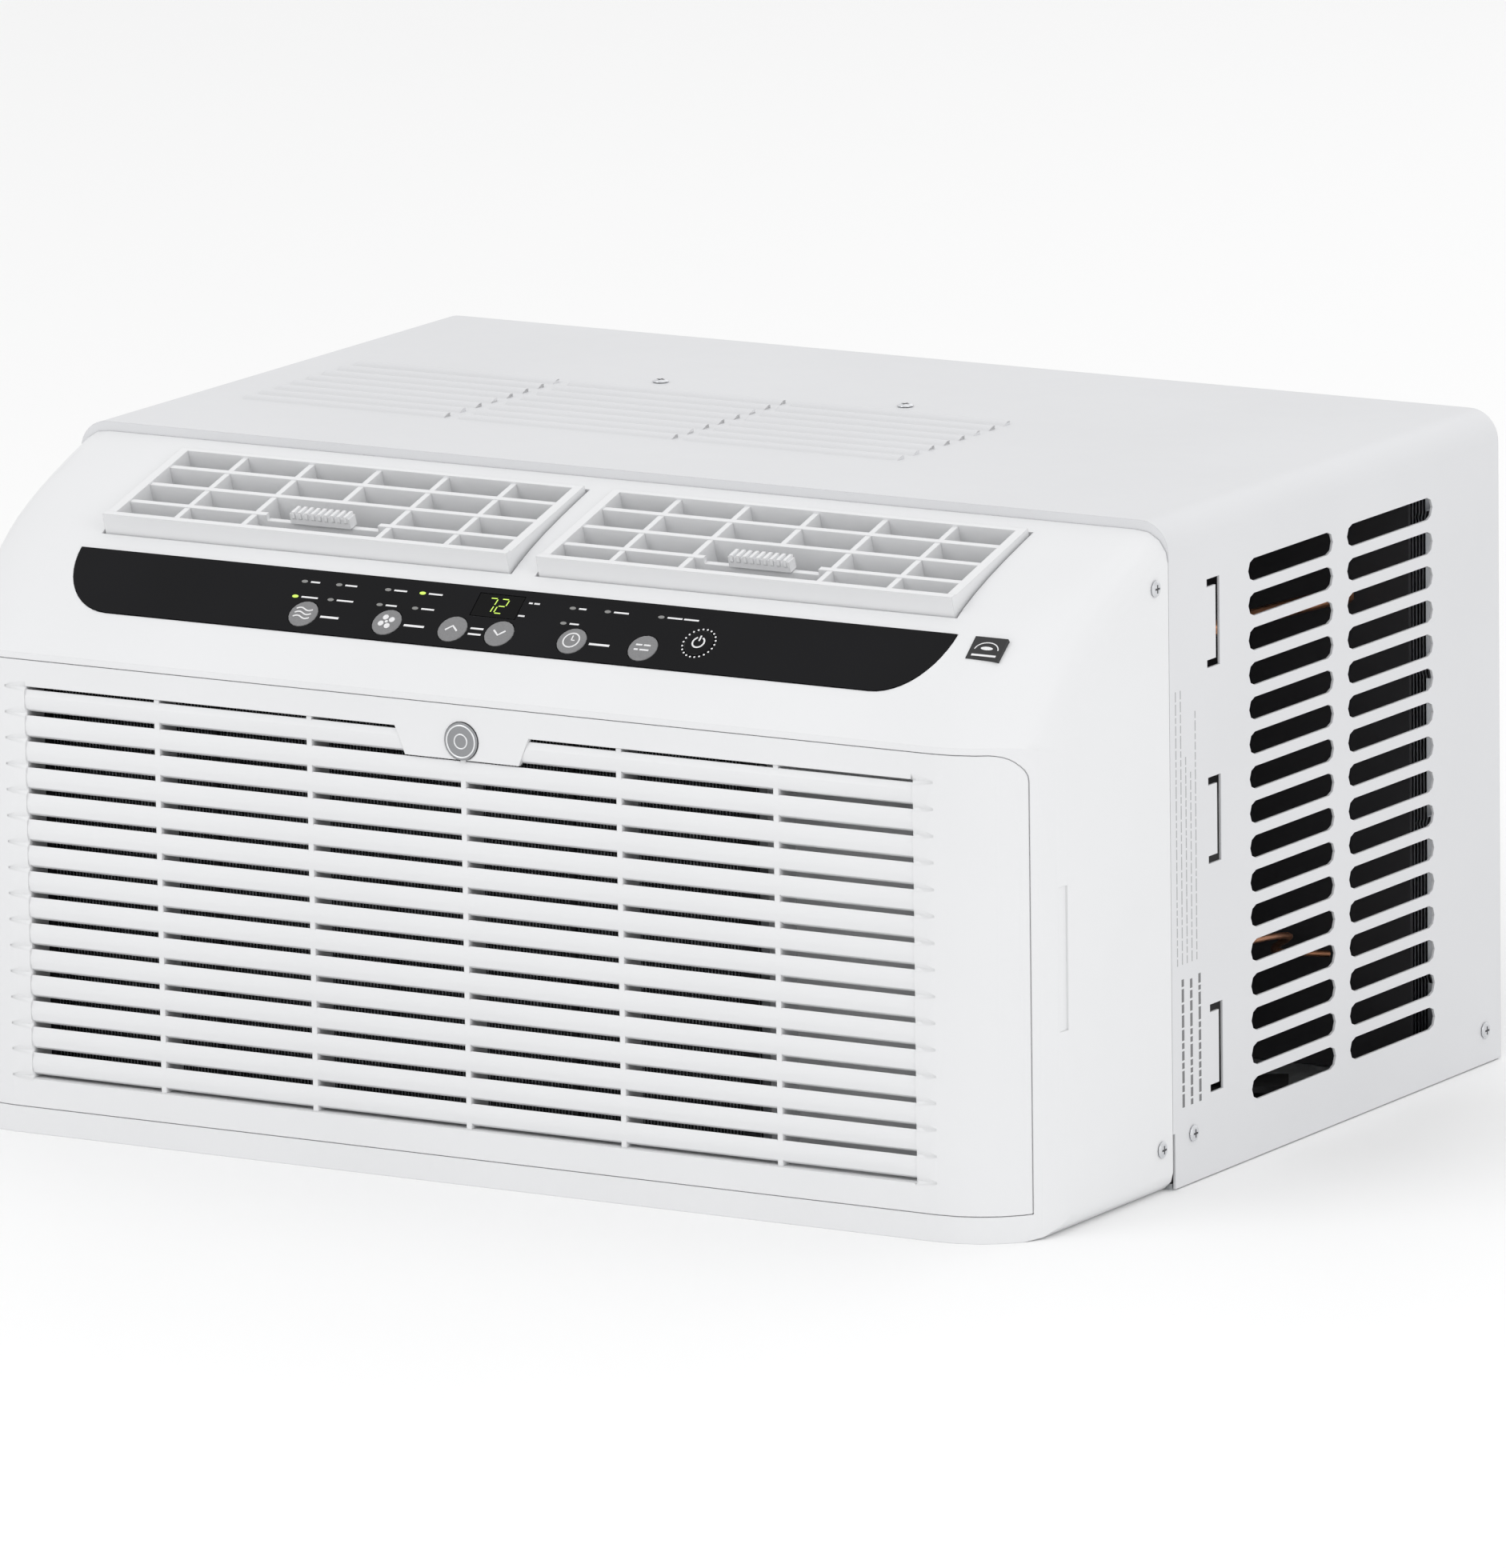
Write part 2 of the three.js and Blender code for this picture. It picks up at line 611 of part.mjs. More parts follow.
bushPiece.rotation.z = -Math.PI / 2;
bushPiece.position.set(-HALF_WIDTH + 0.6, 112, 34);

// --- Air path and fans ----------------------------------------------------------------------

// Slab of fins with round-ended tube bends along both ends
function coil(x0, x1, y0, y1, z0, z1, bends) {
  const parts = [block(x0, x1, y0, y1, z0, z1)];
  const pitch = (z1 - z0) / bends;
  const bendRadius = 12;
  for (let k = 0; k < bends; k += 1) {
    const z = z0 + pitch * (k + 0.5);
    for (const x of [x0, x1]) {
      parts.push(new THREE.TorusGeometry(bendRadius, 4, 6, 10).translate(x, (y0 + y1) / 2, z));
    }
  }
  return join(parts);
}
addPiece('evaporator_coil', coil(-262, 136, 42, 76, 22, 226, 4), FINISH.fins);
addPiece('condenser_coil', coil(-278, 278, 428, 456, 8, 306, 4), FINISH.fins);
addPiece('front_duct_panel', block(150, 286, 25, 27, 16, 228), FINISH.white);

const SCROLL_RADIUS = 88;
const SCROLL_TOP = 237;
function buildScroll() {
  const wallLine = (grow) => {
    const shape = new THREE.Shape();
    const radius = SCROLL_RADIUS + grow;
    shape.moveTo(SHAFT_X + radius, SCROLL_TOP);
    shape.lineTo(SHAFT_X - radius - 18, SCROLL_TOP);
    shape.lineTo(SHAFT_X - radius, SHAFT_Z);
    shape.absarc(SHAFT_X, SHAFT_Z, radius, Math.PI, Math.PI * 2, false);
    return shape;
  };
  const inner = prismY(wallLine(0), 80, 160, 12);
  const opening = block(SHAFT_X - SCROLL_RADIUS - 14, SHAFT_X + SCROLL_RADIUS, 80, 146, SCROLL_TOP - 8, 260);
  const inlet = rod(74, 80, 100, 32, SHAFT_X, SHAFT_Z);
  return cut(prismY(wallLine(3), 86, 146, 12), [
    solid(inner).intersect(solid(block(-400, 400, 89, 160, 0, 400))), opening, inlet,
  ]);
}
addPiece('blower_scroll', buildScroll(), FINISH.darkPlastic);

// Open-topped duct that carries the blower's air up to both baskets
function buildOutletDuct() {
  const side = outline([[54, 238], [146, 238], [146, 307], [134, 303], [78, 284], [54, 273]]);
  const hollow = block(-238, 238, 56, 144, 240, 400);
  const mouth = block(SHAFT_X - SCROLL_RADIUS - 12, SHAFT_X + SCROLL_RADIUS - 2, 90, 143, 230, 250);
  return cut(prismX(side, -240, 240), [hollow, mouth]);
}
addPiece('outlet_duct', buildOutletDuct(), FINISH.white);

function buildBlower() {
  const parts = [rod(84, 138, 141, 32, 0, 0), rod(13, 112, 140, 16, 0, 0)];
  const ring = turned([[78, 94], [84, 94], [84, 97], [78, 97], [78, 94]], 32);
  parts.push(ring);
  const count = 24;
  for (let k = 0; k < count; k += 1) {
    const blade = block(-0.8, 0.8, 95, 140, 69, 83);
    blade.translate(0, 0, -76).rotateY(0.6).translate(0, 0, 76).rotateY((k * 2 * Math.PI) / count);
    parts.push(blade);
  }
  return cut(join(parts), [rod(4 + GAP, 80, 200, 16)]);
}

function buildFan() {
  const ring = turned([[128, 364], [132, 364], [132, 376], [128, 376], [128, 364]], 36);
  const parts = [rod(26, 352, 382, 28), ring];
  for (let k = 0; k < 5; k += 1) {
    const blade = block(20, 128.6, 365.5, 367.5, -22, 22).translate(0, -366.5, 0);
    blade.rotateX(0.42).translate(0, 369, 0).rotateY((k * 2 * Math.PI) / 5);
    parts.push(blade);
  }
  return cut(join(parts), [rod(4 + GAP, 300, 400, 12)]);
}

const rotor = new THREE.Group();
rotor.position.set(SHAFT_X, 0, SHAFT_Z);
model.add(rotor);
addPiece('blower_wheel', buildBlower(), FINISH.darkPlastic, rotor);
addPiece('condenser_fan', buildFan(), FINISH.darkPlastic, rotor);
addPiece('motor_shaft', rod(4, 104, 384, 16), FINISH.steel, rotor);

function buildBulkhead() {
  return cut(block(-292, 150, 152, 154, 3.6, 306), [rod(14, 140, 170, 24, SHAFT_X, SHAFT_Z)]);
}
addPiece('bulkhead', buildBulkhead(), FINISH.steel);

const motorProfile = [
  [4.6, 0], [20, 0], [24, 6], [46, 10], [48, 14], [48, 62], [46, 66], [24, 70], [20, 76], [4.6, 76], [4.6, 0],
];
addPiece('fan_motor', turned(motorProfile, 28), FINISH.enamel).position.set(SHAFT_X, 196, SHAFT_Z);
function buildBracket() {
  const plate = block(SHAFT_X - 62, SHAFT_X + 62, 274, 277, 3.6, SHAFT_Z + 58);
  const foot = block(SHAFT_X - 62, SHAFT_X + 62, 274, 306, 3.6, 6.6);
  return cut(join([plate, foot]), [rod(26, 260, 290, 32, SHAFT_X, SHAFT_Z)]);
}
addPiece('motor_bracket', buildBracket(), FINISH.steel);

function buildShroud() {
  const frame = block(-286, 286, 396, 398.5, 3.6, 308);
  const collar = turned([[136, 360], [139, 360], [139, 398], [136, 398], [136, 360]], 36);
  collar.translate(SHAFT_X, 0, SHAFT_Z);
  return join([cut(frame, [rod(137.5, 380, 410, 36, SHAFT_X, SHAFT_Z)]), collar]);
}
addPiece('fan_shroud', buildShroud(), FINISH.white);

// --- Compressor and pipes -------------------------------------------------------------------

const COMPRESSOR = [196, 268];
const shellProfile = [
  [0, 14], [40, 14], [55, 22], [62, 40], [62, 140], [57, 160], [40, 176], [18, 182], [0, 183],
];
function buildCompressor() {
  const parts = [turned(shellProfile, 28).rotateX(Math.PI / 2)];
  for (let k = 0; k < 3; k += 1) {
    const angle = (k * 2 * Math.PI) / 3 + 0.5;
    parts.push(block(30, 82, -14, 14, 14, 17).rotateZ(angle));
    const foot = new THREE.CylinderGeometry(9, 9, 11, 12).rotateX(Math.PI / 2);
    parts.push(foot.translate(72 * Math.cos(angle), 72 * Math.sin(angle), 9.1));
  }
  return join(parts);
}
addPiece('compressor', buildCompressor(), FINISH.enamel).position.set(...COMPRESSOR, 0);
const bottle = turned([[0, 40], [12, 41], [21, 50], [21, 130], [12, 139], [0, 140]], 24).rotateX(Math.PI / 2);
addPiece('accumulator', bottle, FINISH.copper).position.set(112, 232, 0);

addPiece('discharge_line', bentTube([
  [196, 268, 183.6], [196, 268, 205], [205, 290, 222], [232, 330, 232], [250, 370, 236], [256, 391, 236],
], 4, 20), FINISH.copper);
addPiece('suction_line', bentTube([
  [112, 232, 140.6], [112, 232, 165], [116, 214, 190], [140, 190, 204], [166, 168, 204], [172, 150, 200],
  [172, 110, 190], [160, 86, 186],
], 4.5, 26), FINISH.copper);
addPiece('capillary_tube', bentTube([
  [244, 391, 60], [232, 360, 66], [262, 320, 84], [276, 240, 96], [274, 180, 96], [262, 150, 96],
], 1.6, 22), FINISH.copper);

// --- Electrical box -------------------------------------------------------------------------

const controlBox = cut(block(204, 276, 44, 128, 108, 228), [block(206, 274, 46, 140, 110, 226)]);
addPiece('control_box', controlBox, FINISH.steel);
const can = turned([[0, 0], [19, 0], [20, 2], [20, 66], [18, 68], [0, 68]], 16);
addPiece('capacitor', can, FINISH.steel).position.set(240, 52, 168);

// Origin at the middle of the underside
const windowAirConditioner = new THREE.Group();
model.position.y = -(DEPTH - BADGE_PROUD) / 2;
windowAirConditioner.add(model);

export default windowAirConditioner;
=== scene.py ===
"""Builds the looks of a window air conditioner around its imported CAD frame.

Laid out as an add-on: settings hold the sizes and colours, each operator makes one piece or one
group of like pieces, and main() calls them in order. Lengths are in metres, +X to the right,
+Y to the back and +Z up, with the origin at the middle of the underside.
"""

import json
import math

import bmesh
import bpy
import numpy as np
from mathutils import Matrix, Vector


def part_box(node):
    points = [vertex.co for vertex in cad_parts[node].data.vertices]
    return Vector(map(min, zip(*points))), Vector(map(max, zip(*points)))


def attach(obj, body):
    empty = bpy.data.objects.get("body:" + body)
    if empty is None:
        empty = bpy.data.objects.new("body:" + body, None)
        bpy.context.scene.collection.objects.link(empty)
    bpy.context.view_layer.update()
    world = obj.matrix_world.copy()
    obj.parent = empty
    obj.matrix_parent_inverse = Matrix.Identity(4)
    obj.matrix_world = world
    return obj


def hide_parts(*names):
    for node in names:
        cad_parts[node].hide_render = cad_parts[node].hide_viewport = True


bl_info = {
    "name": "Window air conditioner",
    "version": (1, 0, 0),
    "blender": (4, 5, 0),
    "location": "View3D > Sidebar > Air conditioner",
    "description": "Finishes the pieces of a window air conditioner around its CAD frame",
    "category": "Add Mesh",
}

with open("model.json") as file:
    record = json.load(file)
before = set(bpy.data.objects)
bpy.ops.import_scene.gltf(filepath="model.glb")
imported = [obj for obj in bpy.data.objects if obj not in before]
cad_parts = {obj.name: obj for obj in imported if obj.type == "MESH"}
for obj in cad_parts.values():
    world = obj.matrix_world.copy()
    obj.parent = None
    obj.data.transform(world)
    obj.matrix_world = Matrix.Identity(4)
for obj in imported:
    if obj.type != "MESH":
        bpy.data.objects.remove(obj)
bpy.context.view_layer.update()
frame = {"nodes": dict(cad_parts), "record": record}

MM = 0.001
STRIP_TILT = math.radians(40.2)
PRINT_LIFT = 0.05 * MM                       # printed marks stand this far off the strip


# --- Settings ---------------------------------------------------------------------------------

def length_property(name, description, default):
    return bpy.props.FloatProperty(
        name=name, description=description, default=default, subtype="DISTANCE", unit="LENGTH",
        precision=5)


def colour_property(name, description, default):
    return bpy.props.FloatVectorProperty(
        name=name, description=description, default=default, subtype="COLOR", size=3,
        min=0.0, max=1.0)


class AcSizes(bpy.types.PropertyGroup):
    moulded_edge: length_property("Moulded edge", "Rounding of moulded plastic edges", 0.0006)
    pressed_edge: length_property("Pressed edge", "Rounding of sheet-metal edges", 0.0004)
    led_length: length_property("Lamp length", "Length of an indicator lamp window", 0.0034)
    led_width: length_property("Lamp width", "Width of an indicator lamp window", 0.0018)
    digit_height: length_property("Digit height", "Height of the display digits", 0.0085)
    fin_pitch: length_property("Fin pitch", "Distance from one coil fin to the next", 0.0018)
    mesh_pitch: length_property("Mesh pitch", "Distance between the filter's threads", 0.0022)


class AcColours(bpy.types.PropertyGroup):
    plastic: colour_property("Front plastic", "Moulded front, grille and baskets", (0.755, 0.76, 0.77))
    paint: colour_property("Case paint", "Powder coat of the case", (0.675, 0.68, 0.695))
    strip: colour_property("Strip", "Gloss face of the control strip", (0.004, 0.004, 0.005))
    button: colour_property("Button", "Printed face of the buttons", (0.20, 0.20, 0.205))
    marks: colour_property("Marks", "Printed marks on the strip", (0.78, 0.78, 0.79))
    lamp: colour_property("Lamp", "Lit lamps and digits", (0.50, 0.72, 0.10))
    copper: colour_property("Copper", "Refrigerant pipes", (0.72, 0.34, 0.19))
    fins: colour_property("Fins", "Coil fins", (0.58, 0.60, 0.62))


def sizes():
    return bpy.context.scene.ac_sizes


def colours():
    return bpy.context.scene.ac_colours


# --- Materials --------------------------------------------------------------------------------

class Nodes:
    """A material's node tree with short calls to add and wire its nodes."""

    def __init__(self, name):
        self.material = bpy.data.materials.new(name)
        self.material.use_nodes = True
        self.tree = self.material.node_tree
        self.shader = self.tree.nodes["Principled BSDF"]
        self.place = self.add("ShaderNodeTexCoord").outputs["Object"]

    def add(self, kind, **values):
        node = self.tree.nodes.new(kind)
        for key, value in values.items():
            setattr(node, key, value)
        return node

    def link(self, start, end):
        self.tree.links.new(start, end)

    def noise(self, scale, detail=3.0, stretch=(1, 1, 1)):
        mapping = self.add("ShaderNodeMapping")
        mapping.inputs["Scale"].default_value = stretch
        self.link(self.place, mapping.inputs["Vector"])
        noise = self.add("ShaderNodeTexNoise")
        noise.inputs["Scale"].default_value = scale
        noise.inputs["Detail"].default_value = detail
        self.link(mapping.outputs["Vector"], noise.inputs["Vector"])
        return noise.outputs["Fac"]

    def ramp(self, source, low, high, start=0.0, end=1.0):
        ramp = self.add("ShaderNodeValToRGB")
        ramp.color_ramp.elements[0].position = start
        ramp.color_ramp.elements[1].position = end
        ramp.color_ramp.elements[0].color = (*low, 1.0)
        ramp.color_ramp.elements[1].color = (*high, 1.0)
        self.link(source, ramp.inputs["Fac"])
        return ramp.outputs["Color"]

    def vary(self, colour, amount, source):
        low = tuple(max(0.0, c * (1 - amount)) for c in colour)
        high = tuple(min(1.0, c * (1 + amount)) for c in colour)
        self.link(self.ramp(source, low, high, 0.3, 0.7), self.shader.inputs["Base Color"])

    def rough(self, low, high, source):
        spread = self.add("ShaderNodeMapRange")
        spread.inputs["To Min"].default_value = low
        spread.inputs["To Max"].default_value = high
        self.link(source, spread.inputs["Value"])
        self.link(spread.outputs["Result"], self.shader.inputs["Roughness"])

    def bump(self, height, strength, distance, edge=0.0):
        """Bump from a height, over edges softened by a rounding radius."""
        bump = self.add("ShaderNodeBump")
        bump.inputs["Strength"].default_value = strength
        bump.inputs["Distance"].default_value = distance
        self.link(height, bump.inputs["Height"])
        if edge > 0:
            soft = self.add("ShaderNodeBevel", samples=4)
            soft.inputs["Radius"].default_value = edge
            self.link(soft.outputs["Normal"], bump.inputs["Normal"])
        self.link(bump.outputs["Normal"], self.shader.inputs["Normal"])

    def wave(self, scale, direction):
        wave = self.add("ShaderNodeTexWave", wave_type="BANDS", bands_direction=direction)
        wave.inputs["Scale"].default_value = scale
        self.link(self.place, wave.inputs["Vector"])
        return wave.outputs["Fac"]


def moulded_plastic(name, colour, roughness=0.38, grain=0.12, edge=0.0):
    """Satin plastic: a fine spark-eroded grain, and slow changes in tone and polish."""
    m = Nodes(name)
    m.vary(colour, 0.012, m.noise(9.0))
    m.rough(roughness - 0.04, roughness + 0.05, m.noise(60.0))
    m.bump(m.noise(2600.0, 2.0), grain, 0.00006, edge)
    m.shader.inputs["Specular IOR Level"].default_value = 0.45
    m.shader.inputs["Subsurface Weight"].default_value = 0.04
    m.shader.inputs["Subsurface Radius"].default_value = (0.002, 0.002, 0.002)
    m.shader.inputs["Subsurface Scale"].default_value = 1.0
    return m.material


def powder_coat(name, colour, edge=0.0):
    """Powder coat on steel: orange peel of two sizes under a soft sheen."""
    m = Nodes(name)
    m.vary(colour, 0.015, m.noise(7.0))
    m.rough(0.40, 0.50, m.noise(90.0))
    m.bump(m.noise(900.0, 3.0), 0.10, 0.00012, edge)
    m.shader.inputs["Specular IOR Level"].default_value = 0.4
    return m.material


def brushed_metal(name, colour, roughness=0.32, along="x"):
    """Metal with fine drawn lines along one axis and faint cloudy tarnish."""
    m = Nodes(name)
    stretch = {"x": (0.04, 1, 1), "y": (1, 0.04, 1), "z": (1, 1, 0.04)}[along]
    m.vary(colour, 0.08, m.noise(14.0))
    m.rough(roughness - 0.08, roughness + 0.12, m.noise(420.0, 2.0, stretch))
    m.bump(m.noise(900.0, 2.0, stretch), 0.12, 0.0001)
    m.shader.inputs["Metallic"].default_value = 1.0
    return m.material


def galvanised(name, colour):
    """Zinc spangle: cells of slightly different tone and shine."""
    m = Nodes(name)
    cells = m.add("ShaderNodeTexVoronoi")
    cells.inputs["Scale"].default_value = 120.0
    m.link(m.place, cells.inputs["Vector"])
    grey = m.add("ShaderNodeRGBToBW")
    m.link(cells.outputs["Color"], grey.inputs["Color"])
    m.vary(colour, 0.10, grey.outputs["Val"])
    m.rough(0.32, 0.48, grey.outputs["Val"])
    m.bump(m.noise(300.0), 0.05, 0.0001)
    m.shader.inputs["Metallic"].default_value = 0.9
    return m.material


def coil_fins(name, colour, pitch):
    """Edge-on fin pack drawn in the finish alone: painted shade in the gaps between bright edges, one a
    pitch.
    """
    m = Nodes(name)
    lines = m.wave(2 * math.pi / (pitch * 20.0), "X")
    crumple = m.noise(60.0)
    # painted shade: the gaps between the fins are a tenth of the fin colour
    dark = tuple(c * 0.10 for c in colour)
    m.link(m.ramp(lines, dark, colour, 0.25, 0.75), m.shader.inputs["Base Color"])
    m.rough(0.35, 0.55, crumple)
    m.bump(lines, 0.7, pitch * 0.6)
    m.shader.inputs["Metallic"].default_value = 0.75
    return m.material


def enamel(name, colour):
    """Glossy black enamel with orange peel and a little dust."""
    m = Nodes(name)
    dusty = tuple(min(1.0, c + 0.03) for c in colour)
    m.link(m.ramp(m.noise(30.0, 5.0), colour, dusty, 0.45, 0.75), m.shader.inputs["Base Color"])
    m.rough(0.28, 0.42, m.noise(40.0))
    m.bump(m.noise(500.0), 0.12, 0.0002)
    return m.material


def gloss_strip(name, colour):
    """Deep gloss black face with faint wipe marks in its polish."""
    m = Nodes(name)
    m.vary(colour, 0.2, m.noise(12.0))
    m.rough(0.10, 0.17, m.noise(25.0, 4.0, (0.4, 1, 1)))
    m.bump(m.noise(40.0), 0.02, 0.0002, 0.0003)
    m.shader.inputs["Specular IOR Level"].default_value = 0.12
    return m.material


def printed(name, colour, glow=0.0):
    """Printed ink, with pinholes in its cover, or a lamp window when it glows."""
    m = Nodes(name)
    m.vary(colour, 0.10, m.noise(1800.0, 2.0))
    m.rough(0.30, 0.45, m.noise(700.0))
    if glow > 0:
        m.shader.inputs["Emission Color"].default_value = (*colour, 1.0)
        m.shader.inputs["Emission Strength"].default_value = glow
    return m.material


def rubber(name, colour):
    m = Nodes(name)
    m.vary(colour, 0.2, m.noise(40.0))
    m.rough(0.7, 0.9, m.noise(200.0))
    m.bump(m.noise(700.0), 0.2, 0.0001)
    return m.material


def board_green(name):
    """Circuit board: solder mask with a grid of darker tracks."""
    m = Nodes(name)
    bricks = m.add("ShaderNodeTexBrick")
    bricks.inputs["Scale"].default_value = 90.0
    bricks.inputs["Color1"].default_value = (0.02, 0.16, 0.08, 1)
    bricks.inputs["Color2"].default_value = (0.015, 0.12, 0.06, 1)
    bricks.inputs["Mortar"].default_value = (0.03, 0.24, 0.13, 1)
    m.link(m.place, bricks.inputs["Vector"])
    m.link(bricks.outputs["Color"], m.shader.inputs["Base Color"])
    m.rough(0.3, 0.5, m.noise(90.0))
    return m.material


_finishes = {}


def finish(key):
    """The shared material for a finish, made the first time that it is asked for."""
    if key not in _finishes:
        c = colours()
        s = sizes()
        makers = {
            "plastic": lambda: moulded_plastic("front_plastic", c.plastic, edge=s.moulded_edge),
            "inner_plastic": lambda: moulded_plastic("inner_plastic", (0.66, 0.665, 0.67), 0.5),
            "dark_plastic": lambda: moulded_plastic("dark_plastic", (0.035, 0.035, 0.038), 0.5, 0.2),
            "paint": lambda: powder_coat("case_paint", c.paint, s.pressed_edge),
            "steel": lambda: brushed_metal("zinc_plate", (0.68, 0.69, 0.71), 0.28),
            "shaft": lambda: brushed_metal("ground_steel", (0.60, 0.61, 0.62), 0.25, "y"),
            "can": lambda: brushed_metal("drawn_can", (0.66, 0.67, 0.68), 0.3, "y"),
            "badge": lambda: brushed_metal("badge_metal", (0.30, 0.305, 0.315), 0.35),
            "badge_ring": lambda: brushed_metal("badge_ring_metal", (0.80, 0.81, 0.82), 0.3),
            "zinc": lambda: galvanised("galvanised_sheet", (0.60, 0.62, 0.63)),
            "fins": lambda: coil_fins("fin_pack_painted_gap_shade", c.fins, s.fin_pitch),
            "copper": lambda: brushed_metal("copper_pipe", c.copper, 0.3),
            "enamel": lambda: enamel("black_enamel", (0.012, 0.012, 0.013)),
            "strip": lambda: gloss_strip("strip_gloss", c.strip),
            "window": lambda: gloss_strip("window_gloss", (0.001, 0.001, 0.0012)),
            "button": lambda: printed("button_face", c.button),
            "marks": lambda: printed("strip_print", c.marks),
            "dim_lamp": lambda: printed("dim_lamp", (0.22, 0.22, 0.215)),
            "lit_lamp": lambda: printed("lit_lamp", c.lamp, 0.45),
            "icon": lambda: printed("icon_print", (0.75, 0.75, 0.76)),
            "label_ink": lambda: printed("label_ink", (0.16, 0.16, 0.165)),
            "faint_ink": lambda: printed("faint_ink", (0.38, 0.38, 0.39)),
            "dark_label": lambda: printed("dark_label", (0.012, 0.012, 0.013)),
            "net": lambda: moulded_plastic("filter_net", (0.045, 0.045, 0.05), 0.6),
            # painted shade: near-black steel that stands for the shade inside the screws' driver slots
            "recess": lambda: brushed_metal("painted_slot_shade", (0.10, 0.10, 0.105), 0.5),
            "rubber": lambda: rubber("bush_rubber", (0.02, 0.02, 0.021)),
            "board": lambda: board_green("board_green"),
        }
        _finishes[key] = makers[key]()
    return _finishes[key]


# --- Mesh helpers -----------------------------------------------------------------------------

def new_piece(name, vertices, faces, key, body, smooth=True):
    """Puts whole arrays of points and faces into a mesh object that rides on a body."""
    mesh = bpy.data.meshes.new(name)
    mesh.from_pydata(np.asarray(vertices, dtype=float).tolist(), [], [list(map(int, f)) for f in faces])
    mesh.validate()
    form = bmesh.new()
    form.from_mesh(mesh)
    bmesh.ops.recalc_face_normals(form, faces=form.faces)
    form.to_mesh(mesh)
    form.free()
    mesh.polygons.foreach_set("use_smooth", np.full(len(mesh.polygons), smooth))
    mesh.update()
    piece = bpy.data.objects.new(name, mesh)
    bpy.context.collection.objects.link(piece)
    mesh.materials.append(finish(key))
    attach(piece, body)
    return piece


def body_of_node(node):
    for body, members in frame["record"]["behaviour"]["bodies"].items():
        if node in members:
            return body
    raise RuntimeError("no body holds " + node)


def smooth_by_angle(mesh, degrees):
    mesh.polygons.foreach_set("use_smooth", np.full(len(mesh.polygons), True))
    mesh.set_sharp_from_angle(angle=math.radians(degrees))
    mesh.update()


def drawn_area(mesh):
    """Area of a mesh's triangles as they are drawn."""
    mesh.calc_loop_triangles()
    areas = np.zeros(len(mesh.loop_triangles))
    mesh.loop_triangles.foreach_get("area", areas)
    return float(areas.sum())


def welded_copy(source, name, join):
    """The source's surface with its doubled points welded and, if asked, its flat faces joined."""
    form = bmesh.new()
    form.from_mesh(source)
    bmesh.ops.remove_doubles(form, verts=form.verts, dist=2e-6)
    if join:
        bmesh.ops.dissolve_limit(form, angle_limit=math.radians(0.4), verts=form.verts, edges=form.edges)
    mesh = bpy.data.meshes.new(name)
    form.to_mesh(mesh)
    form.free()
    return mesh


def refined(node, key, bevel=0.0, angle=32.0, segments=2):
    """A welded copy of a CAD node, with its flat triangles joined, its long curves shaded smooth
    and its edges rounded by a narrow bevel. It stands for the node. Where joining or rounding
    would change the drawn area, that step is left out."""
    source = frame["nodes"][node].data
    wanted = drawn_area(source)
    mesh = welded_copy(source, node + "_surface", True)
    if abs(drawn_area(mesh) / wanted - 1) > 0.002:
        bpy.data.meshes.remove(mesh)
        mesh = welded_copy(source, node + "_surface", False)
    piece = bpy.data.objects.new(node + "_skin", mesh)
    bpy.context.collection.objects.link(piece)
    mesh.materials.append(finish(key))
    smooth_by_angle(mesh, angle)
    if bevel > 0:
        rounding = piece.modifiers.new("rounded_edges", "BEVEL")
        rounding.width = bevel
        rounding.segments = segments
        rounding.limit_method = "ANGLE"
        rounding.angle_limit = math.radians(angle)
        rounding.use_clamp_overlap = True
        rounding.harden_normals = False
        rounding.miter_outer = "MITER_ARC"
        rounded = piece.evaluated_get(bpy.context.evaluated_depsgraph_get())
        area = drawn_area(rounded.to_mesh())
        rounded.to_mesh_clear()
        if abs(area / wanted - 1) > 0.06:
            piece.modifiers.remove(rounding)
    weights = piece.modifiers.new("even_shading", "WEIGHTED_NORMAL")
    weights.keep_sharp = True
    weights.weight = 80
    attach(piece, body_of_node(node))
    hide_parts(node)
    return piece


def strip_frame():
    """Middle and axes of the control strip: across, up the slope and out of its face."""
    low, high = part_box("control_board")
    across = np.array([1.0, 0.0, 0.0])
    slope = np.array([0.0, math.cos(STRIP_TILT), math.sin(STRIP_TILT)])
    out = np.array([0.0, -math.sin(STRIP_TILT), math.cos(STRIP_TILT)])
    middle = np.array([0.0, (low[1] + high[1]) / 2, (low[2] + high[2]) / 2])
    board_along, board_out = 0.5 * MM, -6.0 * MM
    return middle - slope * board_along - out * board_out, across, slope, out


def on_strip(points, lift):
    """Carries flat (across, up) points on to the strip's face, a lift above its chord."""
    middle, across, slope, out = strip_frame()
    flat = np.asarray(points, dtype=float)
    return middle + flat[:, :1] * across + flat[:, 1:2] * slope + lift * out


def plate(low, high):
    """Points and faces of a closed plate between two like outlines."""
    count = len(low)
    ring = np.arange(count)
    after = np.roll(ring, -1)
    sides = np.stack([ring, after, after + count, ring + count], axis=1)
    faces = [list(f) for f in sides] + [list(ring[::-1]), list(ring + count)]
    return np.vstack([low, high]), faces


def slab(outline_points, lift_low, lift_high):
    """Points and faces of a thin flat plate on the strip: an outline, low and high."""
    return plate(on_strip(outline_points, lift_low), on_strip(outline_points, lift_high))


def merge_slabs(slabs):
    """Joins many (points, faces) pairs into one pair."""
    points, faces, start = [], [], 0
    for vertices, polygons in slabs:
        points.append(vertices)
        faces += [[i + start for i in polygon] for polygon in polygons]
        start += len(vertices)
    return np.vstack(points), faces


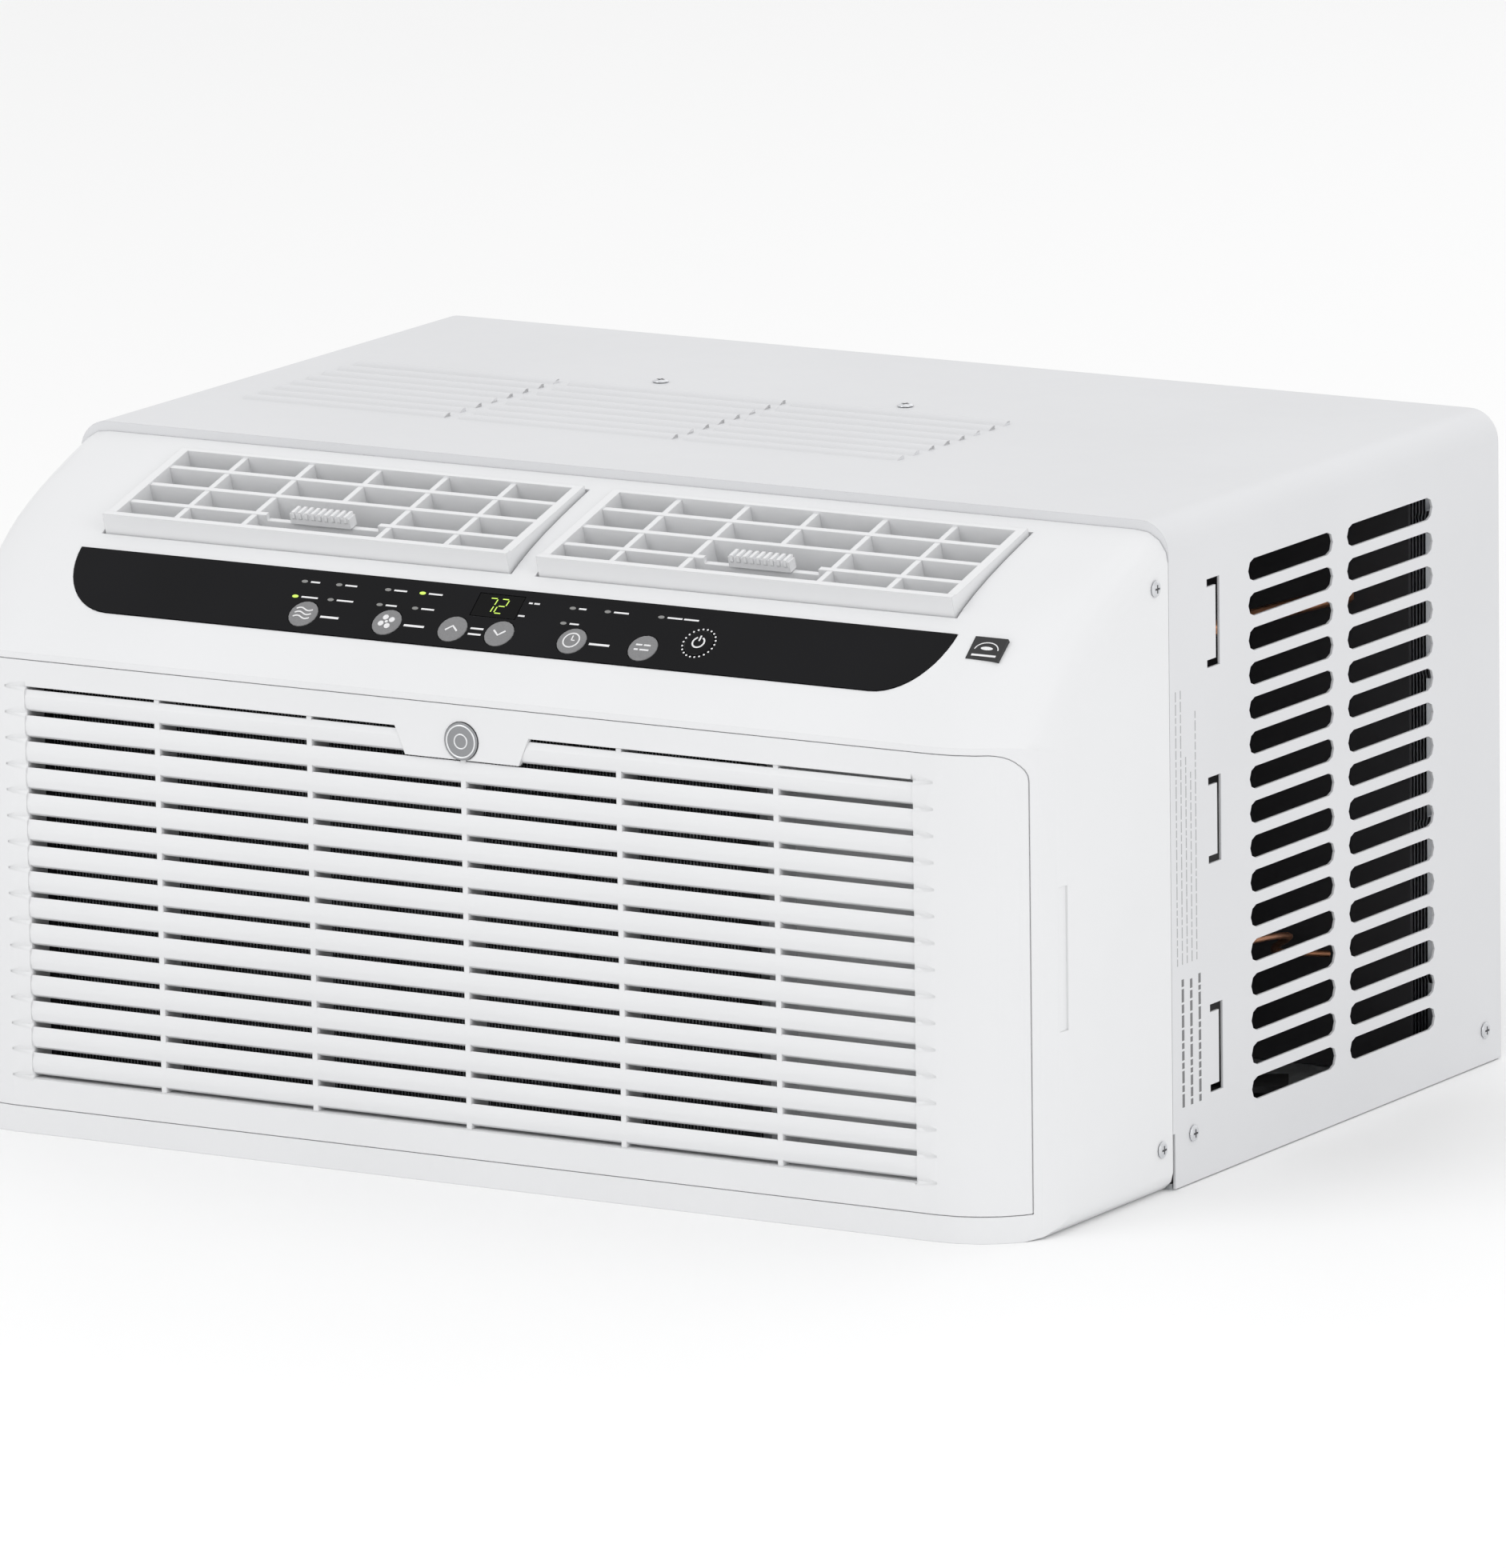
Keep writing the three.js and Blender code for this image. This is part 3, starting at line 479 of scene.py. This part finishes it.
def ribbon(path, width):
    """A flat stroke of even width about a path: each point is set off both ways square to it."""
    path = np.asarray(path, dtype=float)
    along = np.gradient(path, axis=0)
    along /= np.linalg.norm(along, axis=1)[:, None]
    square = np.stack([-along[:, 1], along[:, 0]], axis=1) * width / 2
    return np.vstack([path - square, (path + square)[::-1]])


def ellipse(x, y, rx, ry, count=20, start=0.0, sweep=2 * math.pi):
    """Points at even angles about a middle: x + rx cos t, y + ry sin t."""
    t = start + np.linspace(0, sweep, count, endpoint=abs(sweep) < 2 * math.pi - 1e-6)
    return np.stack([x + rx * np.cos(t), y + ry * np.sin(t)], axis=1)


# --- Strip marks ------------------------------------------------------------------------------

BUTTONS = ("mode", "speed", "temperature_up", "temperature_down", "timer", "filter_reset", "power")
FACE = 0.6 * MM                      # strip face above its chord
BUTTON_TOP = 1.3 * MM


def button_middle(name):
    """Where a button stands on the strip, as (across, up)."""
    low, high = (np.array(v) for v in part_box("button_" + name))
    middle, across, slope, _ = strip_frame()
    place = (low + high) / 2 - middle
    return float(place @ across), float(place @ slope)


def waves(x, y):
    strokes = []
    for row in (-1, 0, 1):
        t = np.linspace(0, 1, 13)
        height = y + row * 2.4 * MM + 0.8 * MM * np.sin(t * 2 * np.pi)
        path = np.stack([x + (t - 0.5) * 9 * MM, height], axis=1)
        strokes.append(ribbon(path, 0.7 * MM))
    return strokes


def rotor_blades(x, y):
    strokes = [ellipse(x, y, 0.8 * MM, 0.8 * MM, 12)]
    for k in range(4):
        t = k * math.pi / 2 + 0.5
        across, up = x + 2.8 * MM * math.cos(t), y + 2.8 * MM * math.sin(t)
        strokes.append(ellipse(across, up, 1.5 * MM, 1.5 * MM, 14))
    return strokes


def chevron(x, y, up):
    reach, rise = 3.2 * MM, up * 1.4 * MM
    path = np.array([[x - reach, y - rise], [x, y + rise], [x + reach, y - rise]])
    fine = np.vstack([path[:1], (path[0] + path[1]) / 2, path[1:2], (path[1] + path[2]) / 2, path[2:]])
    return [ribbon(fine, 0.9 * MM)]


def ring_stroke(x, y, radius, width, start=0.0, sweep=2 * math.pi - 0.02):
    return ribbon(ellipse(x, y, radius, radius, 28, start, sweep), width)


def clock(x, y):
    hand = np.array([[x, y + 2.8 * MM], [x, y + 1.4 * MM], [x, y]])
    short = np.array([[x, y], [x + 0.9 * MM, y], [x + 1.8 * MM, y]])
    return [ring_stroke(x, y, 4.1 * MM, 0.7 * MM), ribbon(hand, 0.6 * MM), ribbon(short, 0.6 * MM)]


def dashes(x, y, lengths, pitch=2.0 * MM, width=0.9 * MM):
    """Rows of plain dashes that stand for small print."""
    strokes = []
    for row, parts in enumerate(lengths):
        at = x
        for length in parts:
            path = np.array([[at, y - row * pitch], [at + length * MM / 2, y - row * pitch],
                             [at + length * MM, y - row * pitch]])
            strokes.append(ribbon(path, width))
            at += (length + 0.9) * MM
    return strokes


def icon_strokes(name, x, y):
    icons = {
        "mode": lambda: waves(x, y),
        "speed": lambda: rotor_blades(x, y),
        "temperature_up": lambda: chevron(x, y, 1),
        "temperature_down": lambda: chevron(x, y, -1),
        "timer": lambda: clock(x, y),
        "filter_reset": lambda: dashes(x - 4 * MM, y + 1.4 * MM, [[3.4, 3.6], [2.2, 4.8]], 2.8 * MM),
        "power": lambda: [ring_stroke(x, y, 3.0 * MM, 0.8 * MM, math.pi * 0.65, math.pi * 1.7),
                          ribbon([[x, y + 4 * MM], [x, y + 2.4 * MM], [x, y + 0.8 * MM]], 0.8 * MM)],
    }
    return icons[name]()


SEGMENTS = {
    "2": "abged",
    "7": "abc",
}


def digit_strokes(digit, x, y, height):
    """Seven-segment digit: strokes a to g round two stacked squares, leaning a little."""
    half = height / 4
    lean = 0.12
    ends = {
        "a": ((-half, 2 * half), (half, 2 * half)), "b": ((half, 2 * half), (half, 0)),
        "c": ((half, 0), (half, -2 * half)), "d": ((-half, -2 * half), (half, -2 * half)),
        "e": ((-half, 0), (-half, -2 * half)), "f": ((-half, 2 * half), (-half, 0)),
        "g": ((-half, 0), (half, 0)),
    }
    strokes = []
    for letter in SEGMENTS[digit]:
        start, end = (np.array(p) for p in ends[letter])
        step = (end - start) * 0.12
        path = np.array([start + step, (start + end) / 2, end - step])
        path[:, 0] += path[:, 1] * lean
        strokes.append(ribbon(path + [x, y], height * 0.065))
    return strokes


# --- Operators --------------------------------------------------------------------------------

class AC_OT_stage(bpy.types.Operator):
    """Makes the pale floor, the soft studio lights and the camera."""
    bl_idname = "ac.stage"
    bl_label = "Stage"

    def execute(self, context):
        scene = context.scene
        size = 60.0
        mesh = bpy.data.meshes.new("floor")
        corners = [(-size, -size, 0), (size, -size, 0), (size, size, 0), (-size, size, 0)]
        mesh.from_pydata(corners, [], [(0, 1, 2, 3)])
        floor = bpy.data.objects.new("floor", mesh)
        scene.collection.objects.link(floor)
        pale = Nodes("floor_white")
        pale.vary((0.93, 0.93, 0.93), 0.004, pale.noise(0.4))
        pale.rough(0.55, 0.65, pale.noise(3.0))
        mesh.materials.append(pale.material)
        world = bpy.data.worlds.new("studio")
        world.use_nodes = True
        world.node_tree.nodes["Background"].inputs["Color"].default_value = (1, 1, 1, 1)
        world.node_tree.nodes["Background"].inputs["Strength"].default_value = 0.92
        scene.world = world
        scene.view_settings.view_transform = "Standard"
        for name, place, target, power, width in (
            ("key", (-1.5, -2.8, 2.4), (0, 0, 0.15), 20, 1.8),
            ("fill", (3.0, -1.2, 1.6), (0, 0, 0.15), 17, 1.8),
            ("top", (0.3, 0.8, 3.0), (0, 0, 0.2), 4, 2.4),
            ("back", (0.4, 3.2, 1.8), (0, 0, 0.15), 8, 2.4),
        ):
            lamp = bpy.data.lights.new(name, "AREA")
            lamp.energy = power
            lamp.size = width
            holder = bpy.data.objects.new(name, lamp)
            scene.collection.objects.link(holder)
            holder.location = place
            aim(holder, target)
        camera = bpy.data.cameras.new("camera")
        camera.lens = 400.0
        camera.sensor_width = 36.0
        camera.clip_end = 100.0
        holder = bpy.data.objects.new("camera", camera)
        scene.collection.objects.link(holder)
        azimuth, elevation, roll = (math.radians(v) for v in (30.73, 11.57, -0.76))
        distance = 8.339
        back = (math.sin(azimuth) * math.cos(elevation), -math.cos(azimuth) * math.cos(elevation),
                math.sin(elevation))
        look = (0.0, 0.0334, 0.1433)
        holder.location = tuple(l + distance * b for l, b in zip(look, back))
        aim(holder, look)
        holder.rotation_euler.rotate_axis("Z", roll)
        scene.camera = holder
        return {"FINISHED"}


def aim(holder, target):
    way = Vector(target) - holder.location
    holder.rotation_euler = way.to_track_quat("-Z", "Y").to_euler()


class AC_OT_front(bpy.types.Operator):
    """Finishes the moulded front, with its outlet duct and the panel beside the filter."""
    bl_idname = "ac.front"
    bl_label = "Moulded front"

    def execute(self, context):
        refined("front_bezel", "plastic")
        refined("outlet_duct", "inner_plastic")
        refined("front_duct_panel", "plastic", 0.3 * MM)
        return {"FINISHED"}


class AC_OT_grille(bpy.types.Operator):
    """Finishes the intake grille and its badge: a ring pressed on a disc."""
    bl_idname = "ac.grille"
    bl_label = "Intake grille"

    def execute(self, context):
        refined("intake_grille", "plastic", 0.25 * MM)
        refined("badge", "badge", 0.25 * MM)
        low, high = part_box("badge")
        x, z, y = (low[0] + high[0]) / 2, (low[2] + high[2]) / 2, low[1]
        rings = []
        for radius, half_width in ((7.6 * MM, 0.45 * MM), (3.4 * MM, 0.4 * MM)):
            rings.append(raised_ring(x, y, z, radius, half_width, 0.35 * MM))
        points, faces = merge_slabs(rings)
        new_piece("badge_rings", points, faces, "badge_ring", "grille")
        return {"FINISHED"}


def raised_ring(x, y, z, radius, half_width, height, turns=48, arc=8):
    """Half-round ring on the badge: radius + half_width cos v outwards and height sin v forwards,
    closed through the disc behind."""
    u = np.linspace(0, 2 * np.pi, turns, endpoint=False)[:, None]
    v = np.linspace(0, 2 * np.pi, arc, endpoint=False)[None, :]
    r = radius + half_width * np.cos(v)
    points = np.stack([x + r * np.cos(u), y - height * np.sin(v) + 0 * u, z + r * np.sin(u)], axis=-1)
    return points.reshape(-1, 3), grid_faces(turns, arc)


def grid_faces(rows, columns):
    """Quads of a grid of points that closes on itself both ways."""
    i = np.arange(rows)[:, None]
    j = np.arange(columns)[None, :]
    a = i * columns + j
    b = i * columns + (j + 1) % columns
    c = ((i + 1) % rows) * columns + (j + 1) % columns
    d = ((i + 1) % rows) * columns + j
    return np.stack([a, b, c, d], axis=-1).reshape(-1, 4).tolist()


class AC_OT_baskets(bpy.types.Operator):
    """Finishes both outlet baskets with their grips and vanes."""
    bl_idname = "ac.baskets"
    bl_label = "Outlet baskets"

    def execute(self, context):
        for side in ("left", "right"):
            refined(side + "_outlet_basket", "plastic", 0.35 * MM)
            refined(side + "_vane_grip", "plastic", 0.3 * MM)
            for k in range(1, 5):
                refined(f"{side}_vane_{k}", "plastic", 0.2 * MM)
        return {"FINISHED"}


class AC_OT_case(bpy.types.Operator):
    """Finishes the sheet-metal case, the base pan and the inner sheet parts."""
    bl_idname = "ac.case"
    bl_label = "Case"

    def execute(self, context):
        refined("cabinet", "paint")
        refined("base_pan", "zinc")
        for node in ("motor_bracket", "control_box"):
            refined(node, "zinc", 0.2 * MM)
        refined("bulkhead", "dark_plastic")
        return {"FINISHED"}


class AC_OT_strip(bpy.types.Operator):
    """Finishes the gloss control strip with its display, lamps and printed marks."""
    bl_idname = "ac.strip"
    bl_label = "Control strip"

    def execute(self, context):
        s = sizes()
        refined("control_panel", "strip", 0.25 * MM)
        refined("display_window", "window", 0.2 * MM)
        refined("control_board", "board")
        strokes = digit_strokes("7", -7.6 * MM, 8 * MM, s.digit_height)
        strokes += digit_strokes("2", -1.4 * MM, 8 * MM, s.digit_height)
        self.print_marks("display_digits", strokes, "lit_lamp")
        lit, dim, marks = [], [], []
        upper, lower = 11.1 * MM, 1.9 * MM
        for x, y, is_lit, words in (
            (-111, upper, False, [5]), (-92, upper, False, [6.5]), (-65, upper, False, [7]),
            (-46, upper, True, [7.5]), (36, upper, False, [4]), (55, upper, False, [8]),
            (84, upper, False, [8, 8]), (-112, lower, True, [9]), (-92.5, lower, False, [9]),
            (-65.5, lower, False, [6]), (-46, lower, False, [7]), (35, lower, False, [5]),
        ):
            lamp = ellipse(x * MM, y, s.led_length / 2, s.led_width / 2, 16)
            (lit if is_lit else dim).append(lamp)
            marks += dashes((x + 3.4) * MM, y, [words])
        for name, words in (("mode", [10]), ("speed", [11]), ("timer", [11])):
            x, y = button_middle(name)
            marks += dashes(x + 9.6 * MM, y - 0.6 * MM, [words], width=1.2 * MM)
        marks += dashes(12.0 * MM, 11.5 * MM, [[2, 3]]) + dashes(9.6 * MM, 3.6 * MM, [[3.5]])
        x, y = button_middle("temperature_up")
        marks += dashes(x + 9.2 * MM, y + 1.6 * MM, [[7], [7]], 3.4 * MM, 1.0 * MM)
        x, y = button_middle("power")
        marks += [ellipse(x + 8.3 * MM * math.cos(t), y + 8.3 * MM * math.sin(t), 0.5 * MM, 0.5 * MM, 10)
                  for t in np.linspace(0, 2 * math.pi, 22, endpoint=False)]
        self.print_marks("lit_lamps", lit, "lit_lamp")
        self.print_marks("dim_lamps", dim, "dim_lamp")
        self.print_marks("strip_marks", marks, "marks")
        return {"FINISHED"}

    def print_marks(self, name, strokes, key):
        points, faces = merge_slabs([slab(stroke, FACE - 0.1 * MM, FACE + PRINT_LIFT) for stroke in strokes])
        new_piece(name, points, faces, key, "chassis", smooth=False)


def on_side(points, lift):
    """Carries flat (back, up) points on to the case's right side."""
    flat = np.asarray(points, dtype=float)
    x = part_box("cabinet")[1][0] + lift
    return np.stack([np.full(len(flat), x), flat[:, 0], flat[:, 1]], axis=1)


def side_mark(points):
    """Points and faces of a thin printed mark on the case's right side."""
    return plate(on_side(points, -0.1 * MM), on_side(points, 0.05 * MM))


def upright_dashes(y, low, high, width, seed):
    """One line of small print turned upright: dashes of word length from low to high."""
    words = np.random.default_rng(seed).uniform(2.2 * MM, 6.5 * MM, 60)
    starts = low + np.concatenate([[0.0], np.cumsum(words + 1.1 * MM)[:-1]])
    marks = []
    for start, word in zip(starts, words):
        end = min(start + word, high)
        if end - start > 1.0 * MM:
            marks.append(np.array([[y, start], [y + width, start], [y + width, end], [y, end]]))
    return marks


class AC_OT_markings(bpy.types.Operator):
    """Prints plain dashes in place of the data label, and a small dark sticker on the front."""
    bl_idname = "ac.markings"
    bl_label = "Markings"

    def execute(self, context):
        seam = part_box("front_bezel")[1][1]
        bold, fine = [], []
        for row in range(3):
            bold += upright_dashes(seam + (9.5 + 8.0 * row) * MM, 38 * MM, 99 * MM, 2.2 * MM, 10 + row)
        for row in range(5):
            top = (236, 236, 205, 196, 224)[row] * MM
            fine += upright_dashes(seam + (5.5 + 4.6 * row) * MM, 106 * MM, top, 0.8 * MM, 20 + row)
        for name, marks, key in (("case_print", bold, "label_ink"), ("case_small_print", fine, "faint_ink")):
            points, faces = merge_slabs([side_mark(mark) for mark in marks])
            new_piece(name, points, faces, key, "chassis", smooth=False)
        x, y, half_x, half_y = 258 * MM, 11.5 * MM, 8.6 * MM, 6.6 * MM
        sticker = [[x - half_x, y - half_y], [x + half_x, y - half_y],
                   [x + half_x, y + half_y], [x - half_x, y + half_y]]
        points, faces = slab(sticker, -1.0 * MM, 1.05 * MM)
        new_piece("front_sticker", points, faces, "dark_label", "chassis", smooth=False)
        t = np.linspace(0.1, math.pi - 0.1, 15)
        arch = np.stack([x + 6.2 * MM * np.cos(t), y - 1.2 * MM + 4.6 * MM * np.sin(t)], axis=1)
        line = np.array([[x - 6.4 * MM, y - 4.2 * MM], [x, y - 4.2 * MM], [x + 6.4 * MM, y - 4.2 * MM]])
        leaf = np.stack([x + 3.2 * MM * np.cos(2 * t), y + 1.0 * MM * np.sin(2 * t)], axis=1)
        strokes = [ribbon(arch, 0.5 * MM), ribbon(line, 1.1 * MM), leaf]
        points, faces = merge_slabs([slab(stroke, 0.6 * MM, 1.12 * MM) for stroke in strokes])
        new_piece("sticker_print", points, faces, "marks", "chassis", smooth=False)
        return {"FINISHED"}


class AC_OT_buttons(bpy.types.Operator):
    """Finishes the caps of the round buttons and prints a sign on each."""
    bl_idname = "ac.buttons"
    bl_label = "Buttons"

    def execute(self, context):
        for name in BUTTONS:
            key = "strip" if name == "power" else "button"
            refined("button_" + name, key, 0.15 * MM, 30.0)
            x, y = button_middle(name)
            strokes = icon_strokes(name, x, y)
            points, faces = merge_slabs([slab(stroke, BUTTON_TOP - 0.5 * MM, BUTTON_TOP + 0.1 * MM)
                                         for stroke in strokes])
            new_piece(name + "_sign", points, faces, "icon", "button_" + name, smooth=False)
        return {"FINISHED"}


class AC_OT_machinery(bpy.types.Operator):
    """Gives the coils, fans, motor, compressor and pipes their finishes."""
    bl_idname = "ac.machinery"
    bl_label = "Machinery"

    def execute(self, context):
        for node in ("evaporator_coil", "condenser_coil"):
            refined(node, "fins")
        for node in ("blower_scroll", "blower_wheel", "condenser_fan"):
            refined(node, "dark_plastic")
        for node in ("suction_line", "discharge_line", "capillary_tube", "accumulator"):
            refined(node, "copper", angle=50.0)
        refined("compressor", "enamel", angle=40.0)
        refined("fan_motor", "enamel", angle=30.0)
        refined("fan_shroud", "dark_plastic")
        refined("motor_shaft", "shaft")
        refined("capacitor", "can")
        return {"FINISHED"}


class AC_OT_filter(bpy.types.Operator):
    """Finishes the filter frame and makes the filter's net of crossed threads."""
    bl_idname = "ac.filter"
    bl_label = "Filter"

    def execute(self, context):
        refined("filter_frame", "dark_plastic", 0.3 * MM)
        low, high = (np.array(v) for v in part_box("filter_mesh"))
        pitch = sizes().mesh_pitch
        upright = self.threads(low, high, pitch, 0, 2, 0.0)
        level = self.threads(low, high, pitch, 2, 0, math.pi)
        points, faces = merge_slabs([upright, level])
        net = new_piece("filter_net", points, faces, "net", "grille")
        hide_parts("filter_mesh")
        return {"FINISHED"}

    def threads(self, low, high, pitch, across, along, phase):
        """Threads in one direction, four-sided and let into the other set where they cross, not
        woven: each middle line moves 0.15 mm in and out as a sine with a period of sixteen
        pitches, and neighbours move opposite ways."""
        radius, rise, step = 0.16 * MM, 0.15 * MM, 8 * pitch
        places = np.arange(low[across] + pitch / 2, high[across], pitch)
        run = np.linspace(low[along], high[along], int((high[along] - low[along]) / step) + 2)
        corner = np.arange(4) * math.pi / 2
        sign = np.where(np.arange(len(places)) % 2 == 0, 1.0, -1.0)
        depth = rise * np.sin(run[None, :] / step * math.pi + phase) * sign[:, None]
        points = np.zeros((len(places), len(run), 4, 3))
        points[..., across] = places[:, None, None] + radius * np.cos(corner)
        points[..., along] = run[None, :, None]
        points[..., 1] = (low[1] + high[1]) / 2 + depth[..., None] + radius * np.sin(corner)
        count, length = len(places), len(run)
        base = (np.arange(count) * length * 4)[:, None, None]
        i = (np.arange(length - 1) * 4)[None, :, None]
        j = np.arange(4)[None, None, :]
        after = (j + 1) % 4
        quads = np.stack([base + i + j, base + i + after, base + i + 4 + after, base + i + 4 + j], axis=-1)
        quads = quads.reshape(-1, 4)
        starts = base[:, 0] + np.arange(4)[None, ::-1]
        ends = base[:, 0] + (length - 1) * 4 + np.arange(4)[None, :]
        faces = quads.tolist() + starts.tolist() + ends.tolist()
        if across == 0:
            faces = [face[::-1] for face in faces]
        return points.reshape(-1, 3), faces


class AC_OT_fasteners(bpy.types.Operator):
    """Finishes the screws, the cord bush and the drain plug."""
    bl_idname = "ac.fasteners"
    bl_label = "Fasteners"

    def execute(self, context):
        for node in frame["nodes"]:
            if node.endswith("_screw"):
                refined(node, "steel", 0.2 * MM)
                self.cross_recess(node)
        refined("cord_bush", "rubber")
        refined("drain_plug", "rubber")
        return {"FINISHED"}

    def cross_recess(self, node):
        """Dark cross of painted shade that stands for the shaded driver slots: a thin twelve-sided plate
        let into the head, 0.06 mm proud of it. Nothing is cut."""
        low, high = (np.array(v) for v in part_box(node))
        middle = (low + high) / 2
        if node.startswith("top"):
            out, face = np.array([0, 0, 1.0]), high[2]
        elif node.startswith("left"):
            out, face = np.array([-1.0, 0, 0]), -low[0]
        else:
            out, face = np.array([1.0, 0, 0]), high[0]
        first = np.array([0, 1.0, 0])
        second = np.cross(out, first)
        arm, half = 2.0 * MM, 0.45 * MM
        quarter = np.array([[half, half], [half, arm], [-half, arm]])
        turns = [np.array([[math.cos(t), -math.sin(t)], [math.sin(t), math.cos(t)]])
                 for t in np.arange(4) * math.pi / 2]
        outline = np.vstack([quarter @ turn.T for turn in turns])
        base = middle - out * (middle @ out)
        cross = base + outline[:, :1] * first + outline[:, 1:] * second
        points, faces = plate(cross + out * (face - 0.3 * MM), cross + out * (face + 0.06 * MM))
        # the cross is painted shade: a dark plate in place of the shaded slots
        new_piece(node + "_recess", points, faces, "recess", "chassis", smooth=False)


class AC_PT_panel(bpy.types.Panel):
    bl_idname = "AC_PT_panel"
    bl_label = "Air conditioner"
    bl_space_type = "VIEW_3D"
    bl_region_type = "UI"
    bl_category = "Air conditioner"

    def draw(self, context):
        for operator in OPERATORS:
            self.layout.operator(operator.bl_idname)
        for group in (context.scene.ac_sizes, context.scene.ac_colours):
            box = self.layout.box()
            for name in group.bl_rna.properties.keys():
                if name not in ("rna_type", "name"):
                    box.prop(group, name)


OPERATORS = (
    AC_OT_stage, AC_OT_front, AC_OT_grille, AC_OT_baskets, AC_OT_case, AC_OT_strip,
    AC_OT_markings, AC_OT_buttons, AC_OT_machinery, AC_OT_filter, AC_OT_fasteners,
)
CLASSES = (AcSizes, AcColours, *OPERATORS, AC_PT_panel)


def register():
    for item in CLASSES:
        bpy.utils.register_class(item)
    bpy.types.Scene.ac_sizes = bpy.props.PointerProperty(type=AcSizes)
    bpy.types.Scene.ac_colours = bpy.props.PointerProperty(type=AcColours)


def unregister():
    del bpy.types.Scene.ac_colours
    del bpy.types.Scene.ac_sizes
    for item in reversed(CLASSES):
        bpy.utils.unregister_class(item)


def main():
    register()
    bpy.ops.ac.stage()
    bpy.ops.ac.front()
    bpy.ops.ac.grille()
    bpy.ops.ac.baskets()
    bpy.ops.ac.case()
    bpy.ops.ac.strip()
    bpy.ops.ac.markings()
    bpy.ops.ac.buttons()
    bpy.ops.ac.machinery()
    bpy.ops.ac.filter()
    bpy.ops.ac.fasteners()


if __name__ == "__main__":
    main()
